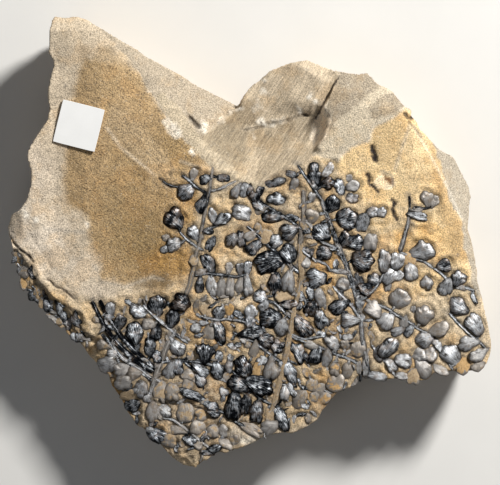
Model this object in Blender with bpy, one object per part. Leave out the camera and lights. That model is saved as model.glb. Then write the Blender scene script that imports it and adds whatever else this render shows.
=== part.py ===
# Carboniferous plant fossil: a siltstone slab with carbonised seed-fern fronds on its bedding surface.
# Metres, +Z up. The slab lies flat on its base. The origin is the centre of the base's bounding box.
# Plan positions are read from a photograph taken from straight above, in its pixels with y down.
import math

import bmesh
import bpy
from mathutils import Matrix, Vector, noise

MM = 0.001
SQUARE_SIDE = 10.0 * MM          # the white card square, which gives the scale
SQUARE_SIDE_PX = 43.6
METRES_PER_PX = SQUARE_SIDE / SQUARE_SIDE_PX
CENTRE_PX = (249.5, 241.5)       # middle of the slab's outline in the photograph

BEDDING_Z = 18.0 * MM            # the split surface that carries the fossil
CREST_Z = 21.3 * MM              # highest point, on the brown plateau
LOWEST_EDGE_Z = 9.0 * MM         # the broken edge is nowhere thinner
NODE_GAP = 0.3 * MM              # clear gap between the stone and what lies on it
UNIT_HEIGHT = 1.0 * MM           # height of the prism before its top takes the stone's heights
GRID_CELL = 3.6 * MM             # spacing of the cuts that let the top surface bend
WALL_LEVELS = (0.2, 0.6)         # heights of the broken side's ridges, as a share of the full height
BASE_SCALE = 0.935               # the base is smaller than the outline, since the sides lean inward
LEAN_TOP = 0.7                   # share of the height at which the lean ends
SIDE_WOBBLE = 0.012              # how far the broken sides go in and out, as a share of the plan
ROUGHNESS = 0.35 * MM            # height of the bare stone's unevenness
ROUGHNESS_SCALE = 160.0          # unevenness per metre

SQUARE_THICKNESS = 0.4 * MM
SQUARE_CENTRE_PX = (79.1, 125.8)
SQUARE_TURN = math.radians(-14.1)
SQUARE_SLOPE = (0.07, 0.04)      # how much it rises towards +X and +Y, lying across a shallow valley

LEAFLET_HEIGHT = 0.21            # height of a leaflet's dome as a share of its width
LEAFLET_SIDES = 6
LEAFLET_TOP = 0.55               # width of a dome's flat top as a share of its base
SMALLEST_LEAFLET_PX = 100.0      # length times width; smaller ones are only in the visual model
AXIS_SIDES_RESOLUTION = 0        # four-sided stems
STALK_RADIUS = 0.28 * MM
FOSSIL_BLOCK_HEIGHT = 5.0 * MM   # the block that cuts the fronds flat below and off at the slab's edge
FOSSIL_BLOCK_SCALE = 0.99
FROND_FACE_SHARE = 0.42          # share of a frond's faces kept, since the leaflets' forms are simple

OUTLINE_PX = [
    (54, 16), (62, 17), (68, 17), (74, 15), (80, 17), (88, 20), (103, 29), (119, 39), (137, 49), (146, 56),
    (162, 64), (181, 75), (192, 82), (210, 91), (237, 104.5), (240, 100), (247, 90), (251, 85), (260, 79),
    (269, 70), (280, 66), (290, 62), (307, 59), (320, 64.5), (336, 70), (352, 73), (360, 73.5), (363, 72),
    (368, 72), (378, 83), (389, 88), (394, 92), (402, 102), (406, 106), (410, 107), (413, 110), (412, 116),
    (418, 122), (420, 128), (431, 139), (440, 149), (452, 154), (456, 158), (464, 173), (471, 186),
    (473, 197), (471, 205), (469, 228), (474, 245), (478, 272), (478, 280), (483, 300), (492, 340),
    (492, 348), (491, 355), (488, 363), (484, 368), (479, 371), (470, 371), (461, 374), (453, 371),
    (440, 374), (434, 373), (428, 380), (416, 382), (395, 379), (388, 380), (368, 379), (358, 376),
    (355, 380), (353, 386), (350, 388), (340, 391), (331, 400), (329, 404), (322, 411), (318, 420),
    (306, 428), (292, 434), (284, 433), (268, 436), (262, 438), (256, 442), (243, 448), (235, 449.5),
    (225, 454), (220, 452), (212, 456), (207, 461), (203, 461), (196, 468), (184, 466), (172, 458),
    (157, 442), (146, 431), (137, 426), (125, 409), (121, 400), (111, 386), (108, 375), (98, 366),
    (90, 358), (82, 346), (70, 333), (58, 323), (47, 313), (33, 300), (20, 279), (15, 265), (11, 251),
    (12, 247), (8, 235), (7, 228), (11, 214), (19, 210), (26, 201), (30, 186), (31, 178), (30, 170),
    (27, 157), (28, 150), (35, 137), (47, 120), (49, 108), (47, 93), (50, 78), (54, 66), (53, 60),
    (48.5, 53), (49, 30), (52, 19),
]

# Each facet is a plane through three points: pixel x, pixel y and height in millimetres.
PLATEAU_PLANES = [
    ((85, 285, 18.0), (165, 225, 18.0), (118, 48, 21.2)),
    ((165, 225, 18.0), (190, 150, 18.0), (125, 100, 20.4)),
    ((79, 75, 19.9), (63, 180, 18.5), (105, 120, 20.5)),
]
LEFT_RIM_PLANES = [
    ((79, 75, 19.9), (63, 180, 18.5), (30, 165, 19.7)),
    ((66, 205, 18.3), (14, 240, 18.9), (60, 300, 17.9)),
]
# Each break is a group of planes: its surface is the highest of them, and it cuts the slab down to it.
BREAKS = [
    [   # conchoidal scoop: two slopes down from the fossil's edge, floor, upper facet, right and left walls
        ((185, 140, 18.0), (235, 180, 18.0), (245, 140, 12.0)),
        ((262, 187, 18.0), (330, 150, 18.0), (275, 145, 12.0)),
        ((215, 130, 11.6), (300, 150, 12.6), (290, 110, 11.8)),
        ((240, 130, 11.8), (310, 110, 12.0), (290, 66, 13.2)),
        ((312, 140, 12.5), (319, 100, 12.5), (336, 95, 18.5)),
        ((195, 136, 17.0), (237, 104, 9.6), (205, 108, 19.0)),
    ],
    [   # pale flank below the plateau's crest, and its two limits at the scoop
        ((118, 48, 21.0), (208, 168, 18.0), (237, 104, 9.5)),
        ((205, 130, 15.6), (237, 104, 9.5), (225, 140, 19.0)),
        ((238, 60, 9.0), (238, 150, 9.0), (243, 104, 40.0)),
    ],
    [   # upper edge of the grey shelf
        ((330, 92, 18.0), (396, 110, 18.0), (368, 72, 15.0)),
        ((330, 92, 18.0), (336, 70, 15.5), (300, 80, 25.0)),
    ],
    [((54, 40, 21.0), (88, 40, 21.0), (70, 15, 17.0))],         # upper left tip
    [((396, 110, 18.0), (408, 122, 18.0), (410, 107, 15.5))],
    [((408, 122, 18.0), (450, 205, 18.0), (464, 173, 13.0))],   # right bevel, upper half
    [((450, 205, 18.0), (478, 295, 18.0), (476, 250, 14.5))],   # right bevel, lower half
    [((484, 322, 18.0), (484, 358, 18.0), (492, 345, 15.5))],
    [((110, 396, 17.2), (172, 470, 15.5), (170, 440, 18.0))],   # lower edge, left part
    [((11, 250, 15.6), (50, 316, 15.2), (82, 290, 19.6))],      # lower left corner
]
LEDGE_PX = [
    (0, 242), (16, 254), (33, 275), (46, 290), (60, 306), (75, 316), (90, 340), (96, 380), (60, 350), (0, 290),
]
LEDGE_DROP = 1.6 * MM

# An axis is (radius in mm, pixel points). A leaflet is (x, y, length, width, heading in degrees), in
# pixels and measured anticlockwise from +X.
LEFT_AXES = [
    (0.65, [(213, 167), (211, 180), (206, 208), (200, 240), (195, 262), (190, 285), (185, 296)]),
    (0.35, [(182, 175), (199, 188), (209, 190)]),
    (0.35, [(180, 232), (197, 248), (203, 250)]),
    (0.35, [(209, 190), (228, 183), (240, 181), (248, 187)]),
    (0.35, [(203, 230), (222, 222)]),
    (0.35, [(195, 276), (216, 274), (249, 274)]),
]
LEFT_LEAFLETS = [
    (194, 174, 10, 7, 80), (205, 179, 11, 9, 200), (223, 178, 13, 7, 350), (236, 192, 11, 8, 250),
    (244, 190, 13, 9, 260), (250, 191, 10, 7, 260), (186, 192, 16, 14, 215), (200, 206, 16, 10, 250),
    (175, 219, 20, 17, 120), (193, 232, 13, 11, 120), (213, 216, 14, 8, 100), (223, 219, 14, 11, 30),
    (242, 212, 19, 13, 150), (232, 240, 13, 11, 230), (241, 239, 15, 8, 280), (211, 244, 14, 9, 250),
    (174, 245, 14, 13, 190), (194, 259, 12, 8, 250), (208, 264, 20, 11, 115), (240, 268, 10, 8, 85),
    (248, 268, 12, 8, 80), (200, 286, 13, 8, 260), (212, 286, 18, 10, 275), (221, 288, 16, 9, 270),
    (230, 287, 17, 9, 270), (240, 286, 14, 9, 265), (248, 287, 17, 9, 285), (181, 303, 17, 16, 150),
]
CENTRE_AXES = [
    (0.45, [(303, 190), (304, 218), (300, 245), (302, 275), (294, 310), (287, 350), (279, 385), (267, 428)]),
    (0.35, [(258, 201), (280, 214), (302, 229)]),
    (0.35, [(247, 226), (266, 243), (300, 273)]),
    (0.35, [(254, 298), (275, 303), (291, 318)]),
    (0.35, [(200, 316), (215, 320), (240, 321), (256, 324)]),
    (0.35, [(233, 332), (256, 342), (283, 364)]),
    (0.35, [(230, 371), (247, 386), (274, 403)]),
    (0.35, [(212, 406), (228, 415), (254, 430), (267, 427)]),
    (0.35, [(301, 250), (315, 260), (327, 265)]),
    (0.35, [(298, 292), (306, 307)]),
    (0.35, [(289, 336), (306, 340), (325, 335)]),
    (0.35, [(289, 336), (305, 342), (335, 354), (348, 361)]),
]
CENTRE_LEAFLETS = [
    (259, 206, 14, 8, 150), (276, 199, 16, 11, 170), (272, 217, 20, 11, 180), (289, 231, 16, 14, 200),
    (250, 236, 12, 8, 200), (266, 236, 14, 9, 70), (254, 248, 14, 11, 215), (276, 241, 12, 12, 180),
    (288, 253, 17, 15, 110), (268, 262, 24, 20, 200), (260, 296, 13, 12, 130), (264, 306, 11, 9, 240),
    (275, 283, 20, 12, 260), (288, 282, 20, 12, 260), (284, 296, 15, 9, 200), (289, 304, 17, 10, 10),
    (270, 318, 19, 17, 180), (281, 328, 15, 12, 265), (205, 309, 12, 10, 90), (219, 313, 12, 11, 100),
    (229, 310, 12, 9, 90), (251, 312, 14, 11, 60), (250, 322, 12, 9, 90), (208, 333, 14, 12, 250),
    (219, 332, 20, 12, 280), (253, 332, 20, 13, 10), (254, 351, 15, 8, 260), (271, 343, 24, 16, 330),
    (263, 361, 13, 9, 200), (271, 371, 17, 13, 260), (257, 369, 14, 8, 270), (243, 367, 19, 17, 120),
    (259, 386, 25, 18, 340), (236, 385, 19, 15, 170), (233, 406, 26, 15, 260), (246, 404, 20, 9, 265),
    (257, 412, 19, 13, 270), (211, 406, 14, 9, 340), (250, 429, 24, 9, 330), (280, 417, 25, 11, 290),
    (270, 427, 18, 12, 200), (290, 372, 22, 11, 300), (285, 392, 15, 9, 260), (298, 400, 16, 11, 260),
    (312, 385, 12, 10, 100), (325, 398, 12, 9, 60), (335, 383, 18, 14, 30), (312, 216, 13, 11, 90),
    (321, 232, 18, 16, 130), (323, 254, 15, 14, 180), (316, 278, 18, 17, 190), (320, 297, 17, 9, 290),
    (311, 308, 15, 12, 250), (321, 320, 18, 13, 290), (303, 326, 22, 14, 310), (298, 352, 20, 12, 110),
    (316, 355, 16, 12, 250), (326, 359, 16, 10, 260), (335, 369, 12, 10, 260), (348, 371, 14, 10, 270),
    (332, 343, 15, 11, 150),
]
RIGHT_AXES = [
    (0.5, [(322, 200), (330, 222), (340, 250), (351, 278), (359, 306), (362, 335), (367, 362)]),
    (0.35, [(298, 165), (306, 178), (322, 200)]),
    (0.35, [(331, 248), (340, 252)]),
    (0.35, [(333, 286), (350, 303), (359, 318)]),
    (0.35, [(359, 304), (375, 289), (379, 283)]),
]
RIGHT_LEAFLETS = [
    (275, 182, 20, 8, 195), (294, 185, 13, 8, 250), (315, 174, 18, 12, 95), (328, 170, 15, 8, 50),
    (328, 184, 14, 12, 20), (339, 187, 15, 10, 120), (353, 186, 12, 9, 20), (352, 198, 12, 9, 0),
    (332, 205, 17, 12, 60), (347, 219, 19, 18, 0), (363, 223, 18, 12, 250), (377, 212, 16, 10, 10),
    (350, 241, 20, 18, 30), (371, 242, 16, 12, 270), (364, 260, 22, 19, 0), (343, 284, 12, 11, 120),
    (338, 307, 17, 13, 200), (349, 321, 16, 14, 190), (360, 302, 12, 9, 90),
    (374, 280, 12, 12, 180), (359, 283, 17, 9, 100), (366, 290, 15, 11, 320), (357, 349, 15, 14, 80), (366, 365, 20, 6, 90),
]
FAR_RIGHT_AXES = [
    (0.55, [(409, 208), (406, 232), (400, 252), (398, 262), (397, 292), (400, 317)]),
    (0.35, [(400, 252), (425, 262), (446, 278), (474, 290)]),
    (0.35, [(378, 304), (387, 308), (412, 324), (432, 335)]),
    (0.35, [(432, 334), (449, 318), (465, 330), (484, 350)]),
    (0.35, [(429, 333), (440, 347), (450, 365)]),
    (0.35, [(376, 306), (374, 330), (378, 348), (397, 374)]),
]
FAR_RIGHT_LEAFLETS = [
    (384, 260, 20, 11, 95), (390, 277, 16, 12, 50),
    (429, 199, 15, 16, 90), (419, 216, 16, 8, 345), (422, 251, 20, 18, 20), (444, 265, 14, 11, 20),
    (459, 278, 13, 13, 60), (445, 288, 14, 14, 250), (427, 283, 12, 11, 250), (397, 261, 17, 13, 90),
    (411, 272, 17, 12, 290), (410, 259, 13, 12, 90), (458, 306, 20, 14, 140), (475, 325, 22, 14, 120),
    (468, 344, 18, 12, 200), (477, 355, 15, 12, 210), (478, 366, 12, 9, 200), (463, 366, 15, 13, 260),
    (451, 356, 22, 16, 140), (424, 355, 20, 14, 0), (425, 340, 16, 13, 200), (440, 328, 18, 13, 20),
    (424, 315, 18, 16, 70), (399, 299, 18, 18, 60), (409, 331, 12, 8, 240), (397, 331, 13, 8, 200),
    (385, 320, 17, 15, 230), (374, 309, 18, 13, 130), (388, 347, 21, 15, 50), (380, 353, 15, 11, 250),
    (403, 361, 16, 13, 330), (391, 366, 14, 10, 300), (377, 376, 18, 8, 170), (423, 368, 18, 14, 300),
    (413, 376, 15, 11, 270), (441, 370, 16, 8, 330),
]
LOWER_LEFT_AXES = [
    (0.6, [(176, 330), (167, 346), (157, 372), (151, 392), (152, 404), (162, 420), (175, 426)]),
    (0.6, [(92, 301), (104, 325), (122, 348), (158, 371)]),
    (0.6, [(100, 300), (120, 335), (158, 368)]),
    (0.45, [(102, 334), (118, 354), (140, 369), (155, 380)]),
    (0.4, [(143, 305), (162, 323), (180, 338), (188, 343)]),
    (0.4, [(160, 361), (196, 362), (220, 370)]),
    (0.35, [(185, 362), (199, 374)]),
    (0.35, [(162, 420), (185, 428), (207, 446)]),
]
LOWER_LEFT_LEAFLETS = [
    (172, 319, 17, 12, 80),
    (138, 311, 15, 13, 160), (110, 309, 12, 10, 100), (120, 322, 14, 10, 70), (134, 334, 19, 15, 100),
    (148, 324, 12, 10, 170), (156, 333, 14, 10, 260), (157, 306, 19, 16, 100), (150, 347, 17, 10, 100),
    (156, 356, 13, 9, 300), (108, 364, 17, 15, 200), (121, 369, 13, 12, 200), (133, 374, 12, 11, 190),
    (123, 383, 16, 13, 195), (140, 389, 15, 15, 230), (169, 372, 15, 12, 250), (178, 368, 14, 11, 280),
    (188, 375, 12, 10, 0), (161, 391, 18, 14, 250), (172, 392, 16, 13, 280), (130, 396, 18, 11, 180),
    (132, 405, 15, 12, 200), (188, 384, 12, 10, 260), (193, 396, 26, 9, 340), (200, 381, 12, 10, 300),
    (177, 348, 16, 13, 300), (206, 352, 16, 15, 90), (217, 371, 16, 12, 290), (202, 371, 14, 10, 320),
    (152, 413, 18, 11, 265), (165, 411, 14, 11, 300), (185, 412, 18, 15, 270), (198, 427, 15, 14, 260),
    (175, 429, 11, 10, 160), (170, 441, 13, 13, 270), (157, 435, 18, 13, 320), (190, 441, 13, 9, 330),
    (213, 431, 13, 11, 270), (223, 431, 12, 9, 270),
]

FRONDS = [
    ("frond_left", LEFT_AXES, LEFT_LEAFLETS),
    ("frond_centre", CENTRE_AXES, CENTRE_LEAFLETS),
    ("frond_right", RIGHT_AXES, RIGHT_LEAFLETS),
    ("pinnae_far_right", FAR_RIGHT_AXES, FAR_RIGHT_LEAFLETS),
    ("frond_lower_left", LOWER_LEFT_AXES, LOWER_LEFT_LEAFLETS),
]


def plan(px, py):
    """Plan position in metres of a point of the photograph."""
    return Vector(((px - CENTRE_PX[0]) * METRES_PER_PX, (CENTRE_PX[1] - py) * METRES_PER_PX, 0.0))


def plane_height(points, x, y):
    """Height at x, y of the plane through three (pixel x, pixel y, millimetres) points."""
    a, b, c = (plan(px, py) + Vector((0.0, 0.0, z * MM)) for px, py, z in points)
    normal = (b - a).cross(c - a)
    return a.z - (normal.x * (x - a.x) + normal.y * (y - a.y)) / normal.z


def inside(polygon, x, y):
    """True where x, y lies in a polygon of (x, y) points."""
    crossings = 0
    for (x1, y1), (x2, y2) in zip(polygon, polygon[1:] + polygon[:1]):
        if (y1 > y) != (y2 > y) and x < x1 + (x2 - x1) * (y - y1) / (y2 - y1):
            crossings += 1
    return crossings % 2 == 1


def stone_height(x, y):
    """Height of the slab's upper surface at x, y."""
    plateau = min(plane_height(points, x, y) for points in PLATEAU_PLANES)
    rim = min(plane_height(points, x, y) for points in LEFT_RIM_PLANES)
    top = min(max(BEDDING_Z, plateau, rim), CREST_Z)
    cut = min(max(plane_height(points, x, y) for points in group) for group in BREAKS)
    height = max(min(top, cut), LOWEST_EDGE_Z)
    if inside([tuple(plan(*point)[:2]) for point in LEDGE_PX], x, y):
        height -= LEDGE_DROP
    bump = ROUGHNESS * noise.noise(Vector((x, y, 0.0)) * ROUGHNESS_SCALE)
    if abs(height - BEDDING_Z) < ROUGHNESS:
        bump = -abs(bump)
    return height + bump


def material(name, colour, roughness):
    made = bpy.data.materials.new(name)
    made.use_nodes = True
    shader = made.node_tree.nodes["Principled BSDF"]
    shader.inputs["Base Color"].default_value = (*colour, 1.0)
    shader.inputs["Roughness"].default_value = roughness
    shader.inputs["Metallic"].default_value = 0.0
    return made


def new_object(name, mesh, collection, finish=None):
    made = bpy.data.objects.new(name, mesh)
    collection.objects.link(made)
    if finish:
        mesh.materials.append(finish)
    return made


def curve_mesh(curve):
    """Mesh of a curve with its caps welded; the curve itself is removed."""
    holder = bpy.data.objects.new("curve", curve)
    bpy.context.scene.collection.objects.link(holder)
    bpy.context.view_layer.update()
    depsgraph = bpy.context.evaluated_depsgraph_get()
    mesh = bpy.data.meshes.new_from_object(holder.evaluated_get(depsgraph))
    bpy.data.objects.remove(holder)
    welded = bmesh.new()
    welded.from_mesh(mesh)
    bmesh.ops.remove_doubles(welded, verts=welded.verts, dist=0.001 * MM)
    bmesh.ops.recalc_face_normals(welded, faces=welded.faces)
    welded.to_mesh(mesh)
    welded.free()
    return mesh


def outline_prism(height, scale=1.0):
    """The slab's outline as a flat 2D curve, extruded from z = 0 to the height."""
    curve = bpy.data.curves.new("outline", "CURVE")
    curve.dimensions = "2D"
    curve.fill_mode = "BOTH"
    curve.extrude = height / 2
    spline = curve.splines.new("POLY")
    spline.points.add(len(OUTLINE_PX) - 1)
    for point, place in zip(spline.points, OUTLINE_PX):
        at = plan(*place) * scale
        point.co = (at.x, at.y, 0.0, 1.0)
    spline.use_cyclic_u = True
    mesh = curve_mesh(curve)
    mesh.transform(Matrix.Translation((0.0, 0.0, height / 2)))
    return mesh


def build_matrix(collection):
    """The stone: an outline prism, cut by a grid so that its top can take the broken surface's form."""
    slab = bmesh.new()
    slab.from_mesh(outline_prism(UNIT_HEIGHT))
    bmesh.ops.dissolve_limit(slab, angle_limit=0.01, verts=slab.verts, edges=slab.edges)
    low = Vector((min(v.co.x for v in slab.verts), min(v.co.y for v in slab.verts), 0.0))
    high = Vector((max(v.co.x for v in slab.verts), max(v.co.y for v in slab.verts), 0.0))
    for axis in (0, 1):
        normal = Vector((axis == 0, axis == 1, 0))
        cuts = int((high[axis] - low[axis]) / GRID_CELL)
        for number in range(1, cuts + 1):
            at = low.copy()
            at[axis] += number * (high[axis] - low[axis]) / (cuts + 1)
            top = [face for face in slab.faces if face.calc_center_median().z > 0.99 * UNIT_HEIGHT]
            edges = {edge for face in top for edge in face.edges}
            verts = {vert for face in top for vert in face.verts}
            bmesh.ops.bisect_plane(slab, geom=top + list(edges) + list(verts), dist=0.01 * MM,
                                   plane_co=at, plane_no=normal)
    for level in WALL_LEVELS:
        bmesh.ops.bisect_plane(slab, geom=slab.verts[:] + slab.edges[:] + slab.faces[:], dist=0.001 * MM,
                               plane_co=(0.0, 0.0, level * UNIT_HEIGHT), plane_no=(0.0, 0.0, 1.0))
    bmesh.ops.triangulate(slab, faces=slab.faces)
    for vert in slab.verts:
        share = vert.co.z / UNIT_HEIGHT
        x, y = vert.co.x, vert.co.y
        wobble = noise.noise(Vector((x, y, share * 20 * MM)) * ROUGHNESS_SCALE / 2)
        shrink = 1.0
        if share < 0.99:
            shrink = BASE_SCALE + (1.0 - BASE_SCALE) * min(1.0, share / LEAN_TOP)
            shrink += SIDE_WOBBLE * (wobble - 0.6)
        vert.co = (x * shrink, y * shrink, share * stone_height(x, y))
    mesh = bpy.data.meshes.new("matrix")
    bmesh.ops.recalc_face_normals(slab, faces=slab.faces)
    slab.to_mesh(mesh)
    slab.free()
    return new_object("matrix", mesh, collection, material("siltstone", (0.53, 0.42, 0.29), 0.85))


def hexagon(leaflet):
    """Corner points of a leaflet's footprint, in plan."""
    px, py, length, width, heading = leaflet
    centre = plan(px, py)
    turn = Matrix.Rotation(math.radians(heading), 3, "Z")
    half = (length * METRES_PER_PX / 2, width * METRES_PER_PX / 2)
    steps = (2 * math.pi * number / LEAFLET_SIDES for number in range(LEAFLET_SIDES))
    return [centre + turn @ Vector((half[0] * math.cos(a), half[1] * math.sin(a), 0.0)) for a in steps]


def axis_samples(points):
    """Points every half millimetre or so along an axis."""
    samples = []
    for start, end in zip(points, points[1:]):
        a, b = plan(*start), plan(*end)
        count = max(1, int((b - a).length / (0.5 * MM)))
        samples += [a.lerp(b, number / count) for number in range(count + 1)]
    return samples


def tube(points, radius):
    """A low stem: a four-sided tube along plan points, with its middle on the leaflets' base."""
    curve = bpy.data.curves.new("axis", "CURVE")
    curve.dimensions = "3D"
    curve.bevel_depth = radius
    curve.bevel_resolution = AXIS_SIDES_RESOLUTION
    curve.use_fill_caps = True
    spline = curve.splines.new("POLY")
    spline.points.add(len(points) - 1)
    for point, place in zip(spline.points, points):
        point.co = (place.x, place.y, BEDDING_Z + NODE_GAP + radius * 0.35, 1.0)
    return curve_mesh(curve)


def dome(leaflet):
    """A leaflet: a low six-sided frustum that starts a little under the fossil's base plane."""
    px, py, length, width, heading = leaflet
    rise = width * METRES_PER_PX * LEAFLET_HEIGHT * (1.0 + 0.13 * noise.noise(Vector((px, py, 0.3))))
    under = rise / 4
    mesh = bmesh.new()
    bmesh.ops.create_cone(mesh, cap_ends=True, segments=LEAFLET_SIDES, radius1=0.5 + 0.06,
                          radius2=0.5 * LEAFLET_TOP, depth=1.0)
    at = plan(px, py) + Vector((0.0, 0.0, BEDDING_Z + NODE_GAP + (rise - under) / 2))
    size = Matrix.Diagonal((length * METRES_PER_PX, width * METRES_PER_PX, rise + under, 1.0))
    bmesh.ops.transform(mesh, verts=mesh.verts,
                        matrix=Matrix.Translation(at) @ Matrix.Rotation(math.radians(heading), 4, "Z") @ size)
    return mesh


def stalks(axes, leaflets):
    """Stalks for the leaflets that touch neither an axis nor a leaflet that is itself joined."""
    samples = [sample for _, points in axes for sample in axis_samples(points)]
    joined = []
    waiting = []
    for leaflet in leaflets:
        corners = [tuple(corner[:2]) for corner in hexagon(leaflet)]
        if any(inside(corners, sample.x, sample.y) for sample in samples):
            joined.append(leaflet)
        else:
            waiting.append(leaflet)
    found = []
    while waiting:
        changed = True
        while changed:
            changed = False
            for leaflet in list(waiting):
                if any(overlap(leaflet, other) for other in joined):
                    waiting.remove(leaflet)
                    joined.append(leaflet)
                    changed = True
        if waiting:
            leaflet = min(waiting, key=lambda item: min((plan(*item[:2]) - s).length for s in samples))
            centre = plan(*leaflet[:2])
            nearest = min(samples, key=lambda s: (s - centre).length)
            found.append([nearest, centre])
            waiting.remove(leaflet)
            joined.append(leaflet)
    return found


def overlap(one, other):
    """True where one leaflet's footprint reaches well into the other's."""
    a, b = hexagon(one), hexagon(other)
    middle_a, middle_b = plan(*one[:2]), plan(*other[:2])
    for corners, middle, target in ((a, middle_a, b), (b, middle_b, a)):
        ring = [tuple(corner[:2]) for corner in target]
        for corner in corners:
            reach = middle.lerp(corner, 0.85)
            if inside(ring, reach.x, reach.y):
                return True
    return False


def build_frond(name, axes, leaflets, collection, block):
    """Axes, leaflets and stalks in one mesh, made one solid by cutting it flat at its base."""
    kept = [leaflet for leaflet in leaflets if leaflet[2] * leaflet[3] >= SMALLEST_LEAFLET_PX]
    whole = bmesh.new()
    for radius, points in axes:
        whole.from_mesh(tube([plan(*point) for point in points], radius * MM))
    for points in stalks(axes, kept):
        whole.from_mesh(tube(points, STALK_RADIUS))
    scratch = bpy.data.meshes.new("leaflet")
    for leaflet in kept:
        one = dome(leaflet)
        one.to_mesh(scratch)
        one.free()
        whole.from_mesh(scratch)
    mesh = bpy.data.meshes.new(name)
    bmesh.ops.recalc_face_normals(whole, faces=whole.faces)
    whole.to_mesh(mesh)
    whole.free()
    frond = new_object(name, mesh, collection, material(name + "_coal", (0.018, 0.02, 0.024), 0.3))
    trim = frond.modifiers.new("trim", "BOOLEAN")
    trim.operation = "INTERSECT"
    trim.solver = "EXACT"
    trim.use_self = True
    trim.object = block
    fewer = frond.modifiers.new("fewer_faces", "DECIMATE")
    fewer.ratio = FROND_FACE_SHARE
    return frond


def build_scale_square(collection):
    """The white card square: it lies loose on the plateau, tilted with it."""
    bpy.ops.mesh.primitive_cube_add(size=1.0)
    card = bpy.context.object
    card.name = "scale_square"
    for other in card.users_collection:
        other.objects.unlink(card)
    collection.objects.link(card)
    x, y = plan(*SQUARE_CENTRE_PX)[:2]
    tilt = Vector((0.0, 0.0, 1.0)).rotation_difference(Vector((-SQUARE_SLOPE[0], -SQUARE_SLOPE[1], 1.0)))
    turn = tilt.to_matrix().to_4x4() @ Matrix.Rotation(SQUARE_TURN, 4, "Z")
    lift = 0.0
    for i in range(-5, 6):
        for j in range(-5, 6):
            under = turn @ Vector((i / 10 * SQUARE_SIDE, j / 10 * SQUARE_SIDE, 0.0))
            lift = max(lift, stone_height(x + under.x, y + under.y) - under.z)
    centre = Vector((x, y, lift + NODE_GAP + ROUGHNESS + SQUARE_THICKNESS / 2))
    card.data.transform(Matrix.Translation(centre) @ turn
                        @ Matrix.Diagonal((SQUARE_SIDE, SQUARE_SIDE, SQUARE_THICKNESS, 1.0)))
    card.data.materials.append(material("white_card", (0.86, 0.86, 0.84), 0.6))
    return card


for old in list(bpy.data.objects):
    bpy.data.objects.remove(old)

pieces = bpy.data.collections.new("carboniferous_plant_fossil")
cutters = bpy.data.collections.new("cutters")
bpy.context.scene.collection.children.link(pieces)
bpy.context.scene.collection.children.link(cutters)

build_matrix(pieces)

block_mesh = outline_prism(FOSSIL_BLOCK_HEIGHT, FOSSIL_BLOCK_SCALE)
block_mesh.transform(Matrix.Translation((0.0, 0.0, BEDDING_Z + NODE_GAP)))
fossil_block = new_object("fossil_block", block_mesh, cutters)
fossil_block.hide_render = True
fossil_block.display_type = "WIRE"

for frond_name, frond_axes, frond_leaflets in FRONDS:
    build_frond(frond_name, frond_axes, frond_leaflets, pieces, fossil_block)

build_scale_square(pieces)
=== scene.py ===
import math
import random

import bpy
import numpy as np
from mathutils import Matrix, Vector, noise


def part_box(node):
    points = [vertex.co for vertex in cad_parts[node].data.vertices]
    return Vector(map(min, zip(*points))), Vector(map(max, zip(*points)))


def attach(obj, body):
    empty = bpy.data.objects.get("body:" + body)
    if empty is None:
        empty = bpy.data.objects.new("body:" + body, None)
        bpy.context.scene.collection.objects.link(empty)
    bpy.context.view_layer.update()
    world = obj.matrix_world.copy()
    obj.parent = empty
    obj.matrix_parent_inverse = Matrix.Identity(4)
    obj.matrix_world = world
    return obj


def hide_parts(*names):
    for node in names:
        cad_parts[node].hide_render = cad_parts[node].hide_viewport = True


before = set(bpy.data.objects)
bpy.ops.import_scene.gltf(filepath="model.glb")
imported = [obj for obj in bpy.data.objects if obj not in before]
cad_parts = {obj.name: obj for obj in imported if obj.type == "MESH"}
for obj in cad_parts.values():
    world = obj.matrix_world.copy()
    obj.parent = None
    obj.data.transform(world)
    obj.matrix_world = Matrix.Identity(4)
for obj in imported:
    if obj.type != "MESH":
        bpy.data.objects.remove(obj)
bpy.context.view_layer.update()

# The slab
# A loose piece of siltstone, split along its bedding and broken all round with a hammer. The upper left
# is a sheet of cover rock that ends in a feather edge, and a conchoidal scoop was struck out beside it.

MM = 0.001
SQUARE_PX = 43.6
PX = 10.0 * MM / SQUARE_PX
MIDDLE_PX = (249.5, 241.5)
VOXEL = 0.36 * MM
RAY_START = 50.0 * MM


def plan(points):
    """Plan positions in metres of points in the photograph's pixels."""
    places = np.asarray(points, dtype=float).reshape(-1, 2)
    return np.stack(((places[:, 0] - MIDDLE_PX[0]) * PX, (MIDDLE_PX[1] - places[:, 1]) * PX), axis=1)


def along(xy, points):
    """For each place: its distance to a line of pixel points, with a plus on the line's left, and how far
    along the line it lies, from 0 to 1."""
    line = plan(points)
    lengths = np.linalg.norm(line[1:] - line[:-1], axis=1)
    starts = np.concatenate(((0.0,), np.cumsum(lengths)))
    nearest = np.full(len(xy), np.inf)
    signed = np.zeros(len(xy))
    share = np.zeros(len(xy))
    for number, (a, b) in enumerate(zip(line[:-1], line[1:])):
        t = np.clip(((xy - a) @ (b - a)) / lengths[number] ** 2, 0.0, 1.0)
        gap = np.linalg.norm(xy - (a + t[:, None] * (b - a)), axis=1)
        turn = (b - a)[0] * (xy[:, 1] - a[1]) - (b - a)[1] * (xy[:, 0] - a[0])
        closer = gap < nearest
        nearest[closer] = gap[closer]
        signed[closer] = np.where(turn[closer] < 0.0, -gap[closer], gap[closer])
        share[closer] = (starts[number] + t[closer] * lengths[number]) / starts[-1]
    return signed, share


def smooth(t):
    """A soft step from 0 to 1 as t goes from 0 to 1."""
    t = np.clip(t, 0.0, 1.0)
    return t * t * (3.0 - 2.0 * t)


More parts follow.
